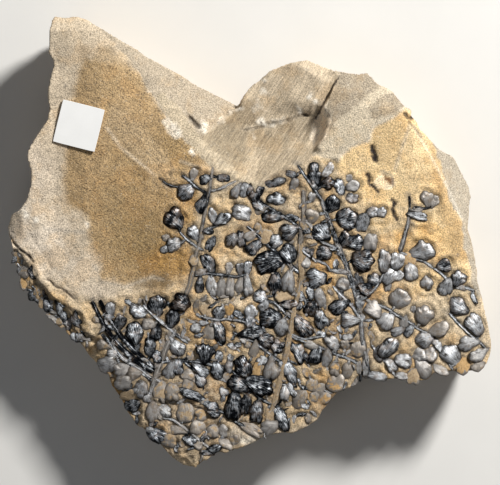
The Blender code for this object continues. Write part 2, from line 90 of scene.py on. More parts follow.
def within(xy, points, soft):
    """1 inside an outline of pixel points and 0 outside it, with a soft edge of a width in metres."""
    ring = plan(list(points) + [points[0]])
    inside = np.zeros(len(xy), dtype=bool)
    for (x1, y1), (x2, y2) in zip(ring[:-1], ring[1:]):
        if y1 != y2:
            spans = (y1 > xy[:, 1]) != (y2 > xy[:, 1])
            inside ^= spans & (xy[:, 0] < x1 + (x2 - x1) * (xy[:, 1] - y1) / (y2 - y1))
    gap = np.abs(along(xy, list(points) + [points[0]])[0])
    return smooth(np.where(inside, gap, -gap) / soft + 0.5)


def bell(distance, width):
    """1 at no distance, and softly less away from it over a width."""
    return np.exp(-(distance / width) ** 2)


def rough(places, scale, octaves=3, shift=0.0):
    """Fractal unevenness at each place, about -1 to 1; scale is in bumps per metre."""
    offset = Vector((shift, shift * 0.7, -shift))
    return np.array([noise.fractal(Vector(place) * scale + offset, 1.0, 2.0, octaves) for place in places])


def tone(red, green, blue):
    """A colour as the shader wants it, from its 0 to 255 screen values."""
    shares = np.array((red, green, blue)) / 255
    return np.where(shares < 0.04045, shares / 12.92, ((shares + 0.055) / 1.055) ** 2.4)


def read(items, name, width=3):
    """A numpy table of a mesh's numbers."""
    table = np.zeros(len(items) * width)
    items.foreach_get(name, table)
    return table.reshape(-1, width)


def pick(*pieces):
    """Select these pieces alone and make the first the active one."""
    bpy.ops.object.select_all(action="DESELECT")
    for piece in pieces:
        piece.select_set(True)
    bpy.context.view_layer.objects.active = pieces[0]


def apply_modifier(piece, name, kind, **settings):
    """Add a modifier to the active piece, set it and apply it."""
    made = piece.modifiers.new(name, kind)
    for setting, value in settings.items():
        setattr(made, setting, value)
    bpy.ops.object.modifier_apply(modifier=made.name)


def height_on(stone, x, y):
    """Height of the stone at a place in plan, or no number where the place is off the stone."""
    hit, spot, _, _ = stone.ray_cast(Vector((x, y, RAY_START)), Vector((0.0, 0.0, -1.0)))
    return spot.z if hit else math.nan


slab = bpy.data.objects.new("siltstone_slab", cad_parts["matrix"].data.copy())
bpy.context.scene.collection.objects.link(slab)
slab.data.materials.clear()
pick(slab)
bpy.ops.object.mode_set(mode="EDIT")
bpy.ops.mesh.select_all(action="SELECT")
bpy.ops.mesh.remove_doubles(threshold=0.001 * MM)
bpy.ops.object.mode_set(mode="OBJECT")
apply_modifier(slab, "even_mesh", "REMESH", mode="VOXEL", voxel_size=VOXEL)

# The underside becomes one flat face, and the broken sides, which need less detail, lose some faces.
BASE_SLACK = 0.3 * MM
SIDE_STEEPNESS = 0.3
SIDES_KEPT = 0.72
spots = read(slab.data.vertices, "co")
spots[spots[:, 2] < BASE_SLACK, 2] = 0.0
slab.data.vertices.foreach_set("co", spots.ravel())
for face in slab.data.polygons:
    face.select = all(spots[corner, 2] == 0.0 for corner in face.vertices)
bpy.ops.object.mode_set(mode="EDIT")
bpy.ops.mesh.select_mode(type="FACE")
bpy.ops.mesh.dissolve_faces(use_verts=True)
bpy.ops.object.mode_set(mode="OBJECT")
steepness = read(slab.data.vertex_normals, "vector")[:, 2]
sides = slab.vertex_groups.new(name="sides")
sides.add([int(corner) for corner in np.flatnonzero(steepness < SIDE_STEEPNESS)], 1.0, "REPLACE")
apply_modifier(slab, "coarser_sides", "DECIMATE", ratio=SIDES_KEPT, vertex_group="sides")
slab.vertex_groups.clear()

spots = read(slab.data.vertices, "co")
facing = read(slab.data.vertex_normals, "vector")
flat = spots[:, :2].copy()
count = len(spots)

# How far each place belongs to the top, by how much it faces up, and how far to the broken sides.
TOP_FROM, TOP_OVER = 0.25, 0.35
resting = spots[:, 2] < 0.01 * MM
upward = smooth((facing[:, 2] - TOP_FROM) / TOP_OVER) * ~resting
sideways = (1.0 - upward) * ~resting

# The surfaces of the top, as outlines in pixels of the photograph.
CREST = [(118, 48), (130, 60), (140, 75), (150, 92), (165, 115), (175, 130), (185, 143), (199, 153),
         (211, 168)]
SHELF_EDGE = [(338, 68), (338, 77), (330, 97), (325, 108), (331, 117), (330, 128), (323, 140), (313, 153)]
STAIN_EDGE = [(338, 162), (343, 154), (352, 146), (368, 141), (374, 127), (395, 116), (406, 108)]
PLATEAU = CREST[2:] + [(200, 185), (196, 215), (190, 262), (168, 280), (150, 276), (125, 286), (100, 281),
                       (95, 262), (90, 240), (88, 216), (68, 206), (63, 180), (66, 150), (72, 97), (78, 76),
                       (84, 58), (104, 63), (128, 66)]
FLANK = [(80, 8)] + CREST[:8] + [(206, 131), (222, 119), (238, 107), (246, 95), (170, 30)]
SCOOP = [(206, 131), (222, 119), (238, 107), (242, 90), (262, 60), (305, 48)] + SHELF_EDGE + \
        [(300, 166), (283, 179), (262, 188), (236, 181), (211, 168), (199, 153)]
UPPER_FACET = [(240, 128), (244, 88), (262, 60), (306, 50), (336, 70), (328, 98), (310, 112), (285, 121)]
SHELF = SHELF_EDGE + STAIN_EDGE + [(410, 90), (375, 60)]
FACET_RIDGE = [(411, 122), (430, 154), (447, 186), (456, 206), (466, 226)]
BEVEL_EDGE = [(411, 112), (421, 124), (431, 138), (437, 150), (441, 165), (447, 190), (450, 202), (457, 213),
              (461, 220), (464, 235), (463, 245), (469, 260), (473, 283), (480, 297)]
OCHRE_SIDE = [(313, 158)] + STAIN_EDGE + BEVEL_EDGE + \
             [(460, 312), (412, 300), (392, 250), (360, 215), (344, 175)]
ORANGE_PLANE = [(374, 128), (404, 105), (411, 122), (402, 148), (394, 172), (381, 166), (372, 146)]
SPARKLING_FACET = [(411, 122)] + BEVEL_EDGE[2:9] + [(440, 228), (415, 196), (394, 172)]
RIDGE_SIDE = BEVEL_EDGE[2:12] + [(452, 262), (446, 232), (438, 205), (428, 160)]
RIGHT_BEVEL = [(402, 98)] + BEVEL_EDGE + [(510, 300), (500, 180), (440, 100)]
SCOOP_FLOOR = SCOOP[:6] + SHELF_EDGE + \
              [(300, 166), (283, 177), (268, 185), (257, 186), (245, 180), (225, 164), (212, 154), (200, 141)]
CUT_EDGE = [(156, 96), (167, 115), (177, 129), (188, 143), (200, 156), (212, 168), (228, 178), (242, 187),
            (262, 191), (278, 186), (288, 178), (266, 182), (257, 183), (245, 177), (226, 161), (213, 151),
            (201, 138), (190, 122), (176, 104), (164, 92)]
SHELF_BAND = [(333, 128), (338, 118), (350, 111), (377, 88), (384, 84), (393, 92), (384, 95), (368, 109),
              (373, 120), (394, 114), (406, 106)] + STAIN_EDGE[::-1] + [(313, 153)]
SHELF_PATCH = [(383, 95), (394, 114), (373, 120), (368, 109)]
BROWN_TRIANGLE = [(383, 173), (394, 179), (394, 187), (387, 181)]
LIGHT_TRIANGLE = [(372, 183), (382, 173), (394, 187), (391, 190), (377, 188)]
WALL_PAINTED_LIGHT = SHELF_EDGE[2:7] + [(312, 146), (311, 130), (316, 118), (321, 108)]
SCOOP_SHADE = [(232, 112), (240, 100), (262, 100), (258, 122), (236, 128)]
SCOOP_LEFT = [(203, 136), (222, 121), (236, 124), (246, 140), (248, 160), (236, 168), (212, 150)]
PALER_BAND = [(104, 122), (114, 137), (120, 147), (130, 155), (144, 166), (157, 178), (176, 172), (163, 150),
              (146, 130), (128, 112), (112, 104)]
CREST_CHIP = [(162, 122), (167, 117), (174, 123), (182, 136), (175, 141), (168, 132)]
FOSSIL_BED = [(165, 165), (208, 166), (236, 182), (262, 190), (300, 168), (330, 160), (372, 205),
              (420, 200), (446, 250), (480, 290), (500, 380), (340, 400), (200, 480), (100, 400),
              (50, 320), (12, 255), (60, 292), (95, 298), (130, 296), (165, 285), (170, 225)]

# Where the bed of the plants and the scoop are, and the stone's unevenness in three sizes, in bumps per
# metre.
COARSE_BUMPS, MEDIUM_BUMPS, FINE_BUMPS = 130.0, 420.0, 1300.0
bed = within(flat, FOSSIL_BED, 4 * MM)
scoop = within(flat, SCOOP, 0.6 * MM)
coarse = rough(spots, COARSE_BUMPS)
medium = rough(spots, MEDIUM_BUMPS, shift=5.1)
fine = rough(spots, FINE_BUMPS, octaves=2, shift=9.3)

# The scoop climbs to the shelf at its right, so that the wall between them begins as a mere crack and
# nowhere stands high. Levels are in mm, and the shelf's go down the picture by its rows of pixels.
SHELF_ROWS = (60, 70, 76, 82, 90, 98, 106)
SHELF_LEVELS = (14.6, 15.4, 16.0, 16.5, 17.2, 17.6, 17.7)
SCOOP_LEVEL, SCOOP_CLIMB, LESS_CLIMB_BELOW = 12.2, 4.6, 1.9
CLIMB_START, CLIMB_WIDTH = 252, 78
LESS_START, LESS_WIDTH = 100, 18
CLIMB_SOFTNESS = 0.35
px_x, px_y = flat[:, 0] / PX + MIDDLE_PX[0], MIDDLE_PX[1] - flat[:, 1] / PX
shelf_level = np.interp(px_y, SHELF_ROWS, SHELF_LEVELS) * MM
climb = SCOOP_CLIMB - LESS_CLIMB_BELOW * smooth((px_y - LESS_START) / LESS_WIDTH)
climbed = (SCOOP_LEVEL + climb * np.clip((px_x - CLIMB_START) / CLIMB_WIDTH, 0.0, 1.0)) * MM
climbed = np.minimum(climbed, shelf_level) - spots[:, 2]
lift = np.logaddexp(0.0, climbed / (CLIMB_SOFTNESS * MM)) * CLIMB_SOFTNESS * MM
spots[:, 2] += lift * within(flat, SCOOP, 1.0 * MM) * upward
slab.data.vertices.foreach_set("co", spots.ravel())
slab.data.update()
slab_before = slab.evaluated_get(bpy.context.evaluated_depsgraph_get())


def height_before(place, otherwise):
    """Height of the slab before its walls are steepened, or another where the place is off the slab."""
    height = height_on(slab_before, *place)
    return otherwise if math.isnan(height) else height


WALL_FADE = 0.8 * MM


def steepen(points, normal, inner, outer, width):
    """Draw the slope along a line together to a wall of a width that may change along the line. The normal
    points to the high side; inner and outer are how far the slope now reaches on that side and below."""
    away, share = along(flat, points)
    in_reach = (away < inner) & (away > -outer) & (share > 0.0) & (share < 1.0) & (upward > 0.0)
    for corner in np.flatnonzero(in_reach):
        foot = flat[corner] - normal * away[corner]
        high = height_before(foot + normal * inner, spots[corner, 2])
        low = min(height_before(foot - normal * outer, spots[corner, 2]), high)
        wall = low + (high - low) * smooth(away[corner] / width(share[corner]) + 1.0)
        fade = smooth(min(inner - away[corner], outer + away[corner]) / WALL_FADE)
        fade *= smooth((share[corner] - 0.02) / 0.12) * smooth((0.99 - share[corner]) / 0.08)
        spots[corner, 2] += (wall - spots[corner, 2]) * fade


def wall_width(share):
    """Width of the wall over the scoop: narrow above, wide in the middle and less so below."""
    return (0.5 + 2.9 * bell(share - 0.60, 0.17) + 1.6 * max(share - 0.6, 0.0)) * MM


# The shelf ends in a wall over the scoop, and the left rim in a low one over the ledge of fern at the
# lower left edge, which falls away outwards.
RIM_EDGE = [(8, 236), (12, 243), (23, 258), (34, 275), (52, 296), (66, 308), (80, 325), (92, 345)]
LEDGE = RIM_EDGE + [(84, 356), (60, 340), (38, 320), (20, 298), (8, 276), (0, 256), (0, 236)]
SHELF_SIDE = np.array((0.97, -0.24))
RIM_SIDE = np.array((0.77, 0.64))
RIM_WALL_WIDTH = 0.5 * MM
LEDGE_LEVEL = 17.3 * MM
LEDGE_FALL = 0.35
steepen(SHELF_EDGE, SHELF_SIDE, inner=3.2 * MM, outer=3.2 * MM, width=wall_width)
steepen(RIM_EDGE, RIM_SIDE, inner=4.4 * MM, outer=1.5 * MM, width=lambda share: RIM_WALL_WIDTH)
ledge_level = LEDGE_LEVEL - LEDGE_FALL * np.abs(along(flat, RIM_EDGE)[0])
ledge_share = within(flat, LEDGE, 0.5 * MM) * smooth(upward * 1.6)
spots[:, 2] += np.maximum(ledge_level - spots[:, 2], 0.0) * ledge_share

# Hackles: fine long ridges that run up and to the right over the scoop. Bumps per metre along and across.
HACKLE_TURN = math.radians(56.0)
HACKLE_BUMPS = (110.0, 800.0)
run = flat @ (math.cos(HACKLE_TURN), math.sin(HACKLE_TURN))
across = flat @ (-math.sin(HACKLE_TURN), math.cos(HACKLE_TURN))
hackle_places = np.stack((run * HACKLE_BUMPS[0], across * HACKLE_BUMPS[1], run * 0.0), axis=1)
hackles = rough(hackle_places, 1.0, shift=2.7)

# Relief in mm: coarse, medium and fine bumps with what the bed of the plants adds to each, crumpled
# layers in that bed, the hackles, and the hollow along the middle of the scoop.
RELIEF = ((coarse, 0.22, -0.08), (medium, 0.05, 0.25), (fine, 0.03, 0.05))
CRUMPLE_MM = 0.55
HACKLE_MM = 0.24
HOLLOW = [(250, 140), (305, 130)]
HOLLOW_MM, HOLLOW_HALF_MM = 0.9, 7.0
rise = sum(bumps * (bare + more * bed) * MM for bumps, bare, more in RELIEF)
rise += (0.35 - np.abs(rough(spots, 330.0, 2, shift=21.0))) * bed * CRUMPLE_MM * MM
rise += hackles * scoop * HACKLE_MM * MM
rise -= HOLLOW_MM * MM * scoop * bell(along(flat, HOLLOW)[0], HOLLOW_HALF_MM * MM)

# Cracks, and four dark plant marks near the ochre side: pixel points, half width in mm, depth in mm,
# # darkness. The dark in a crack is painted shade; the marks, with darkness 1.0, are dark in their own
# colour.
CRACKS = [
    ([(10, 238), (15, 245), (22, 251), (29, 256), (33, 262)], 0.26, 0.5, 0.9),
    ([(47, 279), (51, 282), (56, 287), (61, 288), (66, 292), (75, 299)], 0.22, 0.35, 0.85),
    ([(189, 117), (194, 122), (199, 127)], 0.45, 0.9, 0.75),
    ([(160, 179), (165, 184), (171, 187), (178, 186)], 0.30, 0.4, 0.85),
    ([(303, 113), (308, 115)], 0.40, 0.5, 0.8),
    ([(262, 124), (275, 122), (288, 119)], 0.25, 0.3, 0.4),
    ([(405, 114), (409, 118), (414, 117)], 0.45, 0.6, 0.8),
    ([(288, 185), (294, 187), (300, 187)], 0.30, 0.25, 0.6),
    ([(110, 380), (113, 373), (110, 366)], 0.35, 0.4, 0.5),
    ([(152, 402), (170, 402), (190, 403), (200, 409), (215, 418)], 0.30, 0.4, 0.5),
    ([(338, 78), (332, 88), (327, 97), (321, 108), (316, 118)], 0.24, 0.25, 0.9),
    ([(372, 147), (374, 153), (375, 160)], 0.62, 0.4, 1.0),
    ([(368, 175), (370, 180)], 0.62, 0.4, 1.0),
    ([(370, 184), (374, 187), (378, 192)], 0.42, 0.3, 1.0),
    ([(392, 200), (395, 203), (392, 209), (394, 215), (396, 219)], 0.46, 0.3, 1.0),
    ([(409, 122), (415, 129), (421, 137)], 0.28, 0.2, 0.5),
]
crack_shade_and_marks = np.zeros(count)
for points, half_width, depth, dark in CRACKS:
    gap, _ = along(flat, points)
    rise -= bell(gap, half_width * MM) * upward * depth * MM
    ragged = np.abs(gap) / (half_width * MM) + 0.8 * fine
    crack_shade_and_marks = np.maximum(crack_shade_and_marks, smooth(1.5 - ragged) * upward * dark)

# Low steps: pixel points with the higher side on the line's left, height in mm, and how far they fade.
# # Their edges are painted paler, a painted highlight where the edge catches the light.
STEPS = [
    ([(95, 262), (100, 281), (125, 287), (152, 277), (168, 281)], 0.12, 3.0),
    ([(152, 402), (170, 402), (190, 403), (202, 410), (216, 419)], 0.45, 2.5),
    ([(206, 131), (222, 119), (238, 106)], 0.55, 1.5),
    ([(240, 130), (255, 127), (285, 121), (311, 110)], 0.55, 2.0),
    ([(156, 177), (144, 166), (130, 155), (120, 147), (114, 137), (104, 125)], 0.15, 0.9),
    ([(379, 170), (392, 176), (394, 188)], 0.35, 1.0),
    (STAIN_EDGE, 0.35, 2.0),
    ([(411, 122), (402, 148), (394, 172)], 0.35, 3.0),
    (FACET_RIDGE[::-1], 0.16, 2.5),
    ([(39, 222), (45, 229), (65, 231), (88, 232)], 0.22, 1.5),
    ([(178, 160), (186, 163), (200, 168)], 0.25, 1.0),
]
STEP_HALF = 0.25 * MM
STEP_EDGE_HIGHLIGHT = 0.3
pale = np.zeros(count)
for points, height, reach in STEPS:
    gap, share = along(flat, points)
    ends = smooth(share / 0.08) * smooth((1.0 - share) / 0.08)
    fade = np.exp(-np.abs(gap) / (reach * MM)) * upward * ends
    rise += fade * height * MM / 2 * np.clip(gap / STEP_HALF, -1.0, 1.0)
    pale = np.maximum(pale, STEP_EDGE_HIGHLIGHT * bell(gap, 0.4 * MM) * upward * ends)

# Bruises: pale crushed spots where the hammer struck, in pixels with their radius.
BRUISES = [(264, 80, 3), (264, 90, 4), (258, 106, 6), (262, 122, 6), (310, 95, 4), (316, 101, 3),
           (206, 127, 6), (172, 127, 5), (178, 134, 5), (26, 214, 6), (36, 219, 4), (87, 224, 3),
           (254, 137, 3), (238, 108, 4), (230, 113, 4), (222, 118, 4), (300, 111, 4), (150, 92, 3),
           (192, 150, 4), (274, 123, 5), (282, 120, 4)]
BRUISE_RELIEF = 0.3 * MM
for px, py, radius in BRUISES:
    away = np.linalg.norm(flat - plan([(px, py)])[0], axis=1) / (radius * PX)
    spot = np.clip(1.15 - away + 0.9 * medium + 0.5 * fine, 0.0, 1.0) * upward
    pale = np.maximum(pale, spot)
    rise += spot * fine * BRUISE_RELIEF

spots[:, 2] += rise * upward

# The broken sides only ever go inwards, by chips and by the edges of the thin layers, in mm.
SIDE_SHIFT_MM, CHIP_MM, LAYER_MM = -0.30, 0.45, 0.16
inward = rough(spots * (1.0, 1.0, 2.2), 210.0, 4, 3.3)
laminae = rough(spots * (0.15, 0.15, 1.0), 900.0, 2, 8.0)
shift = np.minimum(sideways * (SIDE_SHIFT_MM + CHIP_MM * inward + LAYER_MM * laminae) * MM, 0.0)
spots[:, :2] += facing[:, :2] * shift[:, None]

low_corner, high_corner = (np.array(corner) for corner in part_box("matrix"))
spots[:, 2] = np.where(resting, 0.0, spots[:, 2])
spots = np.clip(spots, low_corner, high_corner)
slab.data.vertices.foreach_set("co", spots.ravel())
slab.data.update()

# Colour of the stone by surface: grey-beige where fresh, brown on the weathered cover rock, orange where
# iron has stained the bed round the plants, and pale on the bevels. Each entry is an outline, its soft
# edge in mm, its colour on the screen and its strength.
paint = np.tile(tone(203, 186, 162), (count, 1))
COLOURS = [
    (FOSSIL_BED, 8.0, (194, 171, 136), 1.0),
    (PLATEAU, 2.4, (170, 143, 105), 1.0),
    (OCHRE_SIDE, 2.0, (216, 187, 140), 1.0),
]
CRISP_COLOURS = [
    (PALER_BAND, 2.2, (182, 159, 126), 0.6),
    (SPARKLING_FACET, 0.6, (214, 188, 146), 0.8),
    (RIDGE_SIDE, 3.0, (176, 147, 104), 0.9),
    (ORANGE_PLANE, 0.6, (195, 168, 125), 0.9),
    (LIGHT_TRIANGLE, 0.3, (240, 220, 186), 1.0),
    (BROWN_TRIANGLE, 0.3, (116, 82, 46), 1.0),
    (FLANK, 0.4, (171, 157, 137), 1.0),
    (CREST_CHIP, 0.5, (212, 199, 180), 0.85),
    (SCOOP_FLOOR, 0.4, (177, 161, 137), 1.0),
    (SCOOP_LEFT, 3.0, (146, 132, 110), 1.0),
    (CUT_EDGE, 0.4, (180, 165, 141), 1.0),
    (UPPER_FACET, 1.0, (206, 188, 162), 0.9),
    (SCOOP_SHADE, 0.8, (170, 152, 126), 0.9),
    (SHELF, 0.6, (158, 145, 126), 1.0),
    (SHELF_BAND, 0.6, (196, 182, 159), 0.95),
    (SHELF_PATCH, 0.6, (166, 152, 131), 0.9),
    (RIGHT_BEVEL, 0.5, (165, 154, 137), 1.0),
    # The wall is painted far paler than its stone: painted light, lifting the shade it stands in.
    (WALL_PAINTED_LIGHT, 0.6, (244, 228, 205), 1.0),
]
EDGE_WOBBLE_MM = 0.5
wobble = np.stack((medium, fine), axis=1) * EDGE_WOBBLE_MM * MM


def lay(colour, share):
    """Lay a colour over what is painted, by its share at each place."""
    paint[:] = paint * (1.0 - share[:, None]) + colour * share[:, None]


def colour_in(entries):
    """Paint each outline's colour over what is there."""
    for outline, soft, colour, strength in entries:
        lay(tone(*colour), within(flat + wobble, outline, soft * MM) * strength * upward)


colour_in(COLOURS)
MOTTLE_SHARE = 0.45
mottled = smooth(0.36 + 1.6 * rough(spots, MEDIUM_BUMPS, shift=12.1))[:, None]
bed_tint = tone(204, 172, 126) * mottled + tone(186, 169, 144) * (1.0 - mottled)
lay(bed_tint, bed * MOTTLE_SHARE * upward)

# Stains: x, y, radius across and up in pixels, colour and strength.
STAINS = [
    (150, 245, 38, 34, (136, 112, 74), 0.8), (130, 215, 40, 55, (146, 122, 84), 0.5),
    (110, 75, 24, 26, (180, 153, 114), 0.7), (70, 36, 25, 20, (186, 170, 147), 0.9),
    (30, 180, 26, 45, (203, 188, 169), 0.7), (38, 242, 38, 30, (224, 209, 190), 0.9),
    (74, 266, 28, 20, (206, 191, 171), 0.9), (425, 238, 25, 20, (206, 168, 110), 0.8),
    (395, 165, 26, 18, (222, 197, 152), 0.7), (375, 300, 30, 20, (205, 156, 86), 0.7),
    (325, 265, 14, 40, (206, 166, 104), 0.6), (262, 232, 16, 16, (206, 158, 92), 0.6),
    (236, 297, 24, 12, (216, 198, 172), 0.9), (172, 262, 26, 25, (160, 122, 66), 0.8),
    (186, 205, 12, 28, (186, 150, 96), 0.6), (180, 150, 26, 18, (150, 124, 84), 0.8),
    (240, 436, 16, 10, (206, 198, 184), 1.0), (208, 302, 26, 6, (204, 188, 164), 0.8),
    (92, 290, 32, 12, (198, 183, 164), 0.8), (158, 282, 20, 12, (122, 99, 66), 0.9),
    (168, 205, 16, 34, (154, 126, 86), 0.7), (459, 238, 9, 22, (168, 140, 100), 0.8),
    (120, 330, 16, 30, (184, 160, 126), 0.5), (228, 235, 12, 30, (196, 172, 136), 0.5),
    (200, 330, 28, 20, (184, 146, 92), 0.6), (330, 410, 14, 20, (138, 114, 82), 0.8),
    (410, 378, 40, 8, (205, 170, 115), 0.6), (140, 350, 40, 44, (178, 156, 126), 0.8),
    (118, 398, 14, 20, (196, 152, 84), 0.8), (150, 440, 20, 20, (172, 152, 124), 0.7),
    (48, 304, 22, 14, (186, 158, 116), 0.8), (100, 366, 8, 14, (196, 158, 96), 0.6),
    (195, 410, 50, 44, (180, 160, 134), 0.8), (20, 262, 16, 14, (170, 150, 120), 0.6),
    (300, 320, 20, 30, (190, 154, 104), 0.5), (300, 415, 20, 14, (196, 170, 132), 0.6),
    (430, 318, 60, 36, (202, 182, 152), 0.9), (458, 366, 20, 10, (208, 184, 150), 0.6),
    (280, 235, 60, 40, (190, 168, 138), 0.6), (345, 330, 24, 40, (188, 164, 132), 0.6),
]
for px, py, wide, high, colour, strength in STAINS:
    apart = (flat - plan([(px, py)])[0]) / (np.array((wide, high)) * PX)
    away = np.linalg.norm(apart, axis=1) + 0.45 * coarse + 0.25 * medium
    lay(tone(*colour), smooth(1.4 - away) * strength * upward)
colour_in(CRISP_COLOURS)

# Over all that come the layers on the broken sides, the pale bruises, the paler step edges that are a
# # painted highlight, and the painted shade in the cracks with the dark plant marks.
lay(tone(176, 156, 126) * (1.0 + 0.18 * laminae[:, None]), sideways)
lay(tone(244, 236, 222), pale * 0.8)
lay(tone(34, 22, 14), crack_shade_and_marks)


class Maths:
    """A node's output socket that takes part in Python expressions."""

    def __init__(self, tree, socket):
        self.tree = tree
        self.socket = socket

    def node(self, kind, settings=None, **inputs):
        """A new node of a kind: its settings first, then its input sockets by name or by in_ and number."""
        made = self.tree.nodes.new(kind)
        for name, value in (settings or {}).items():
            setattr(made, name, value)
        for name, value in inputs.items():
            place = int(name[3:]) if name.startswith("in_") else name.replace("_", " ")
            socket = made.inputs[place]
            if isinstance(value, Maths):
                self.tree.links.new(value.socket, socket)
            else:
                socket.default_value = value
        return made

    def result(self, kind, settings=None, output=0, **inputs):
        return Maths(self.tree, self.node(kind, settings, **inputs).outputs[output])

    def math(self, operation, *others, clamp=False):
        values = {"in_" + str(number): other for number, other in enumerate(others)}
        return self.result("ShaderNodeMath", {"operation": operation, "use_clamp": clamp}, **values)

    def __add__(self, other):
        return self.math("ADD", self, other)

    __radd__ = __add__

    def __sub__(self, other):
        return self.math("SUBTRACT", self, other)

    def __rsub__(self, other):
        return self.math("SUBTRACT", other, self)

    def __mul__(self, other):
        return self.math("MULTIPLY", self, other)

    __rmul__ = __mul__

    def step(self, low, high):
        """0 below low and 1 above high, with a soft change between."""
        return self.result("ShaderNodeMapRange", {"interpolation_type": "SMOOTHSTEP"}, Value=self,
                           From_Min=low, From_Max=high, To_Min=0.0, To_Max=1.0)

    def blend(self, one, other, how="MIX"):
        """A colour between two, with this value as the share of the second."""
        return self.result("ShaderNodeMix", {"data_type": "RGBA", "blend_type": how}, output=2,
                           in_0=self, in_6=one, in_7=other)

    def whole(self):
        """The number 1, as the share of a full blend."""
        return self.math("ADD", 1.0, 0.0)

    def noise(self, where, scale, detail=3.0, roughness=0.5):
        return self.result("ShaderNodeTexNoise", Vector=where, Scale=scale, Detail=detail,
                           Roughness=roughness)

    def attribute(self, name, output=2):
        """A value that the mesh carries at each of its points, or its colour as output 0."""
        return self.result("ShaderNodeAttribute", {"attribute_name": name}, output=output)

    def mapped(self, where, scale, turn=0.0, way="POINT"):
        """Coordinates multiplied by a scale, or as a TEXTURE divided by it, and turned in plan."""
        return self.result("ShaderNodeMapping", {"vector_type": way}, Vector=where,
                           Rotation=(0.0, 0.0, turn), Scale=scale)

    def bump(self, height, strength, distance):
        return self.result("ShaderNodeBump", Strength=strength, Distance=distance, Height=height)


def new_material(name):
    """A material with its shader node, its start for expressions, and its object coordinates."""
    made = bpy.data.materials.new(name)
    made.use_nodes = True
    shader = made.node_tree.nodes["Principled BSDF"]
    start = Maths(made.node_tree, None)
    where = start.result("ShaderNodeTexCoord", output=3)
    return made, shader, start, where


def feed(maths, socket):
    maths.tree.links.new(maths.socket, socket)


def rgba(colour):
    return (*(float(c) for c in colour), 1.0)


# The stone: grains, clots, clouds, hackles, scratches and layers make its painted colour lighter and
# # darker. Iron tints it, dark flecks and crumbs of plant are strewn over it, and pale specks are painted
# glints of mica.
SCRATCH_TURN = math.radians(-42.0)
stone_finish, shader, start, where = new_material("siltstone")
painted = start.attribute("stone_colour", 0)
streaked = start.attribute("streaked")
littered = start.attribute("littered")
weathered = start.attribute("weathered")
broken = start.attribute("broken")
grains = start.noise(where, 3300.0, 2.0, 0.6)
clots = start.noise(where, 1100.0, 3.0, 0.65)
clouds = start.noise(where, 190.0, 4.0, 0.6)
laid = start.mapped(where, (4.0 * MM, 0.36 * MM, 2.0 * MM), HACKLE_TURN, "TEXTURE")
streaks = start.noise(laid, 1.0, 3.0, 0.6)
layered = start.mapped(where, (45.0, 45.0, 620.0))
layers = (start.noise(layered, 1.0, 4.0, 0.65) - 0.5) * broken
scratched = start.mapped(where, (2.2 * MM, 0.34 * MM, 2.0 * MM), SCRATCH_TURN, "TEXTURE")
scratches = (start.noise(scratched, 1.0, 3.0, 0.6) - 0.5) * weathered
value = (grains - 0.5) * (2.7 + weathered * 0.5 - streaked * 1.1) + clots * 0.4 + clouds * 0.28 + 0.66
value = value + (streaks - 0.5) * streaked * 1.55 + scratches * 1.3 + layers * 1.3
speckled = start.result("ShaderNodeCombineColor", Red=value, Green=value, Blue=value)
body = start.whole().blend(painted, speckled, "MULTIPLY")
iron = clouds.step(0.48, 0.64) * (0.30 + littered * 0.30)
body = iron.blend(body, start.whole().blend(body, rgba((0.88, 0.68, 0.42)), "MULTIPLY"))
flecks = start.noise(where, 1900.0, 2.0, 0.5).step(0.66, 0.72) * 0.4
body = flecks.blend(body, rgba(tone(84, 68, 50)))
# Painted glints: pale specks that stand for the sparkle of mica.
glints = start.noise(where, 2600.0, 1.0, 0.5).step(0.64, 0.74) * 0.22
body = glints.blend(body, rgba(tone(250, 240, 222)))
litter = start.noise(where, 900.0, 5.0, 0.7).step(0.57, 0.66) * littered * 0.55
body = litter.blend(body, rgba(tone(52, 43, 33)))
feed(body, shader.inputs["Base Color"])
shader.inputs["Roughness"].default_value = 0.86
chips = start.noise(where, 800.0, 4.0, 0.7)
relief = grains * 0.8 + clots * 0.6 + streaks * streaked * 1.3 + litter * 0.5 + chips * littered * 2.4
relief = relief + layers * 6.0
feed(start.bump(relief, 0.9, 0.16 * MM), shader.inputs["Normal"])
slab.data.materials.append(stone_finish)

# The fronds
# Carbonised seed-fern fronds, pressed between the layers of silt: a film of coal over filled, domed
# leaflets, on grooved stems. Where the film has flaked off, grey shale or an ochre cast shows.

# A leaflet is (x, y, length, width, heading, bareness): pixels, degrees anticlockwise from +X, and 0 for
# whole black film, a half for grey and worn film, 1 for a cast in bare stone.
LEFT_LEAFLETS = [
    (194, 174, 10, 7, 80, .55), (205, 179, 11, 9, 200, .15), (223, 178, 13, 7, 350, .1),
    (236, 192, 11, 8, 250, .35), (244, 190, 13, 9, 260, .3), (250, 191, 10, 7, 260, .05),
    (255, 197, 8, 9, 260, .1), (260, 191, 9, 7, 70, .05), (186, 192, 16, 14, 215, .2),
    (200, 206, 16, 10, 250, .08), (175, 219, 20, 17, 120, .05), (193, 232, 13, 11, 120, .25),
    (201, 237, 6, 4, 270, .7), (213, 216, 14, 8, 100, .35), (223, 219, 14, 11, 30, .2),
    (242, 212, 19, 13, 150, .35), (232, 240, 13, 11, 230, .25), (241, 239, 15, 8, 280, .15),
    (211, 244, 14, 9, 250, .15), (209, 231, 9, 7, 0, .1), (174, 245, 14, 13, 190, .3),
    (166, 238, 7, 6, 180, .6), (165, 249, 9, 7, 200, .3), (194, 259, 12, 8, 250, .75),
    (208, 264, 20, 11, 115, .12), (229, 267, 9, 7, 80, .5), (240, 268, 10, 8, 85, .25),
    (248, 268, 12, 8, 80, .25), (200, 272, 9, 7, 200, .5), (200, 286, 13, 8, 260, .15),
    (212, 286, 18, 10, 275, .4), (221, 288, 16, 9, 270, .5), (230, 287, 17, 9, 270, .5),
    (240, 286, 14, 9, 265, .5), (248, 287, 17, 9, 285, .35), (181, 303, 17, 16, 150, .02),
]
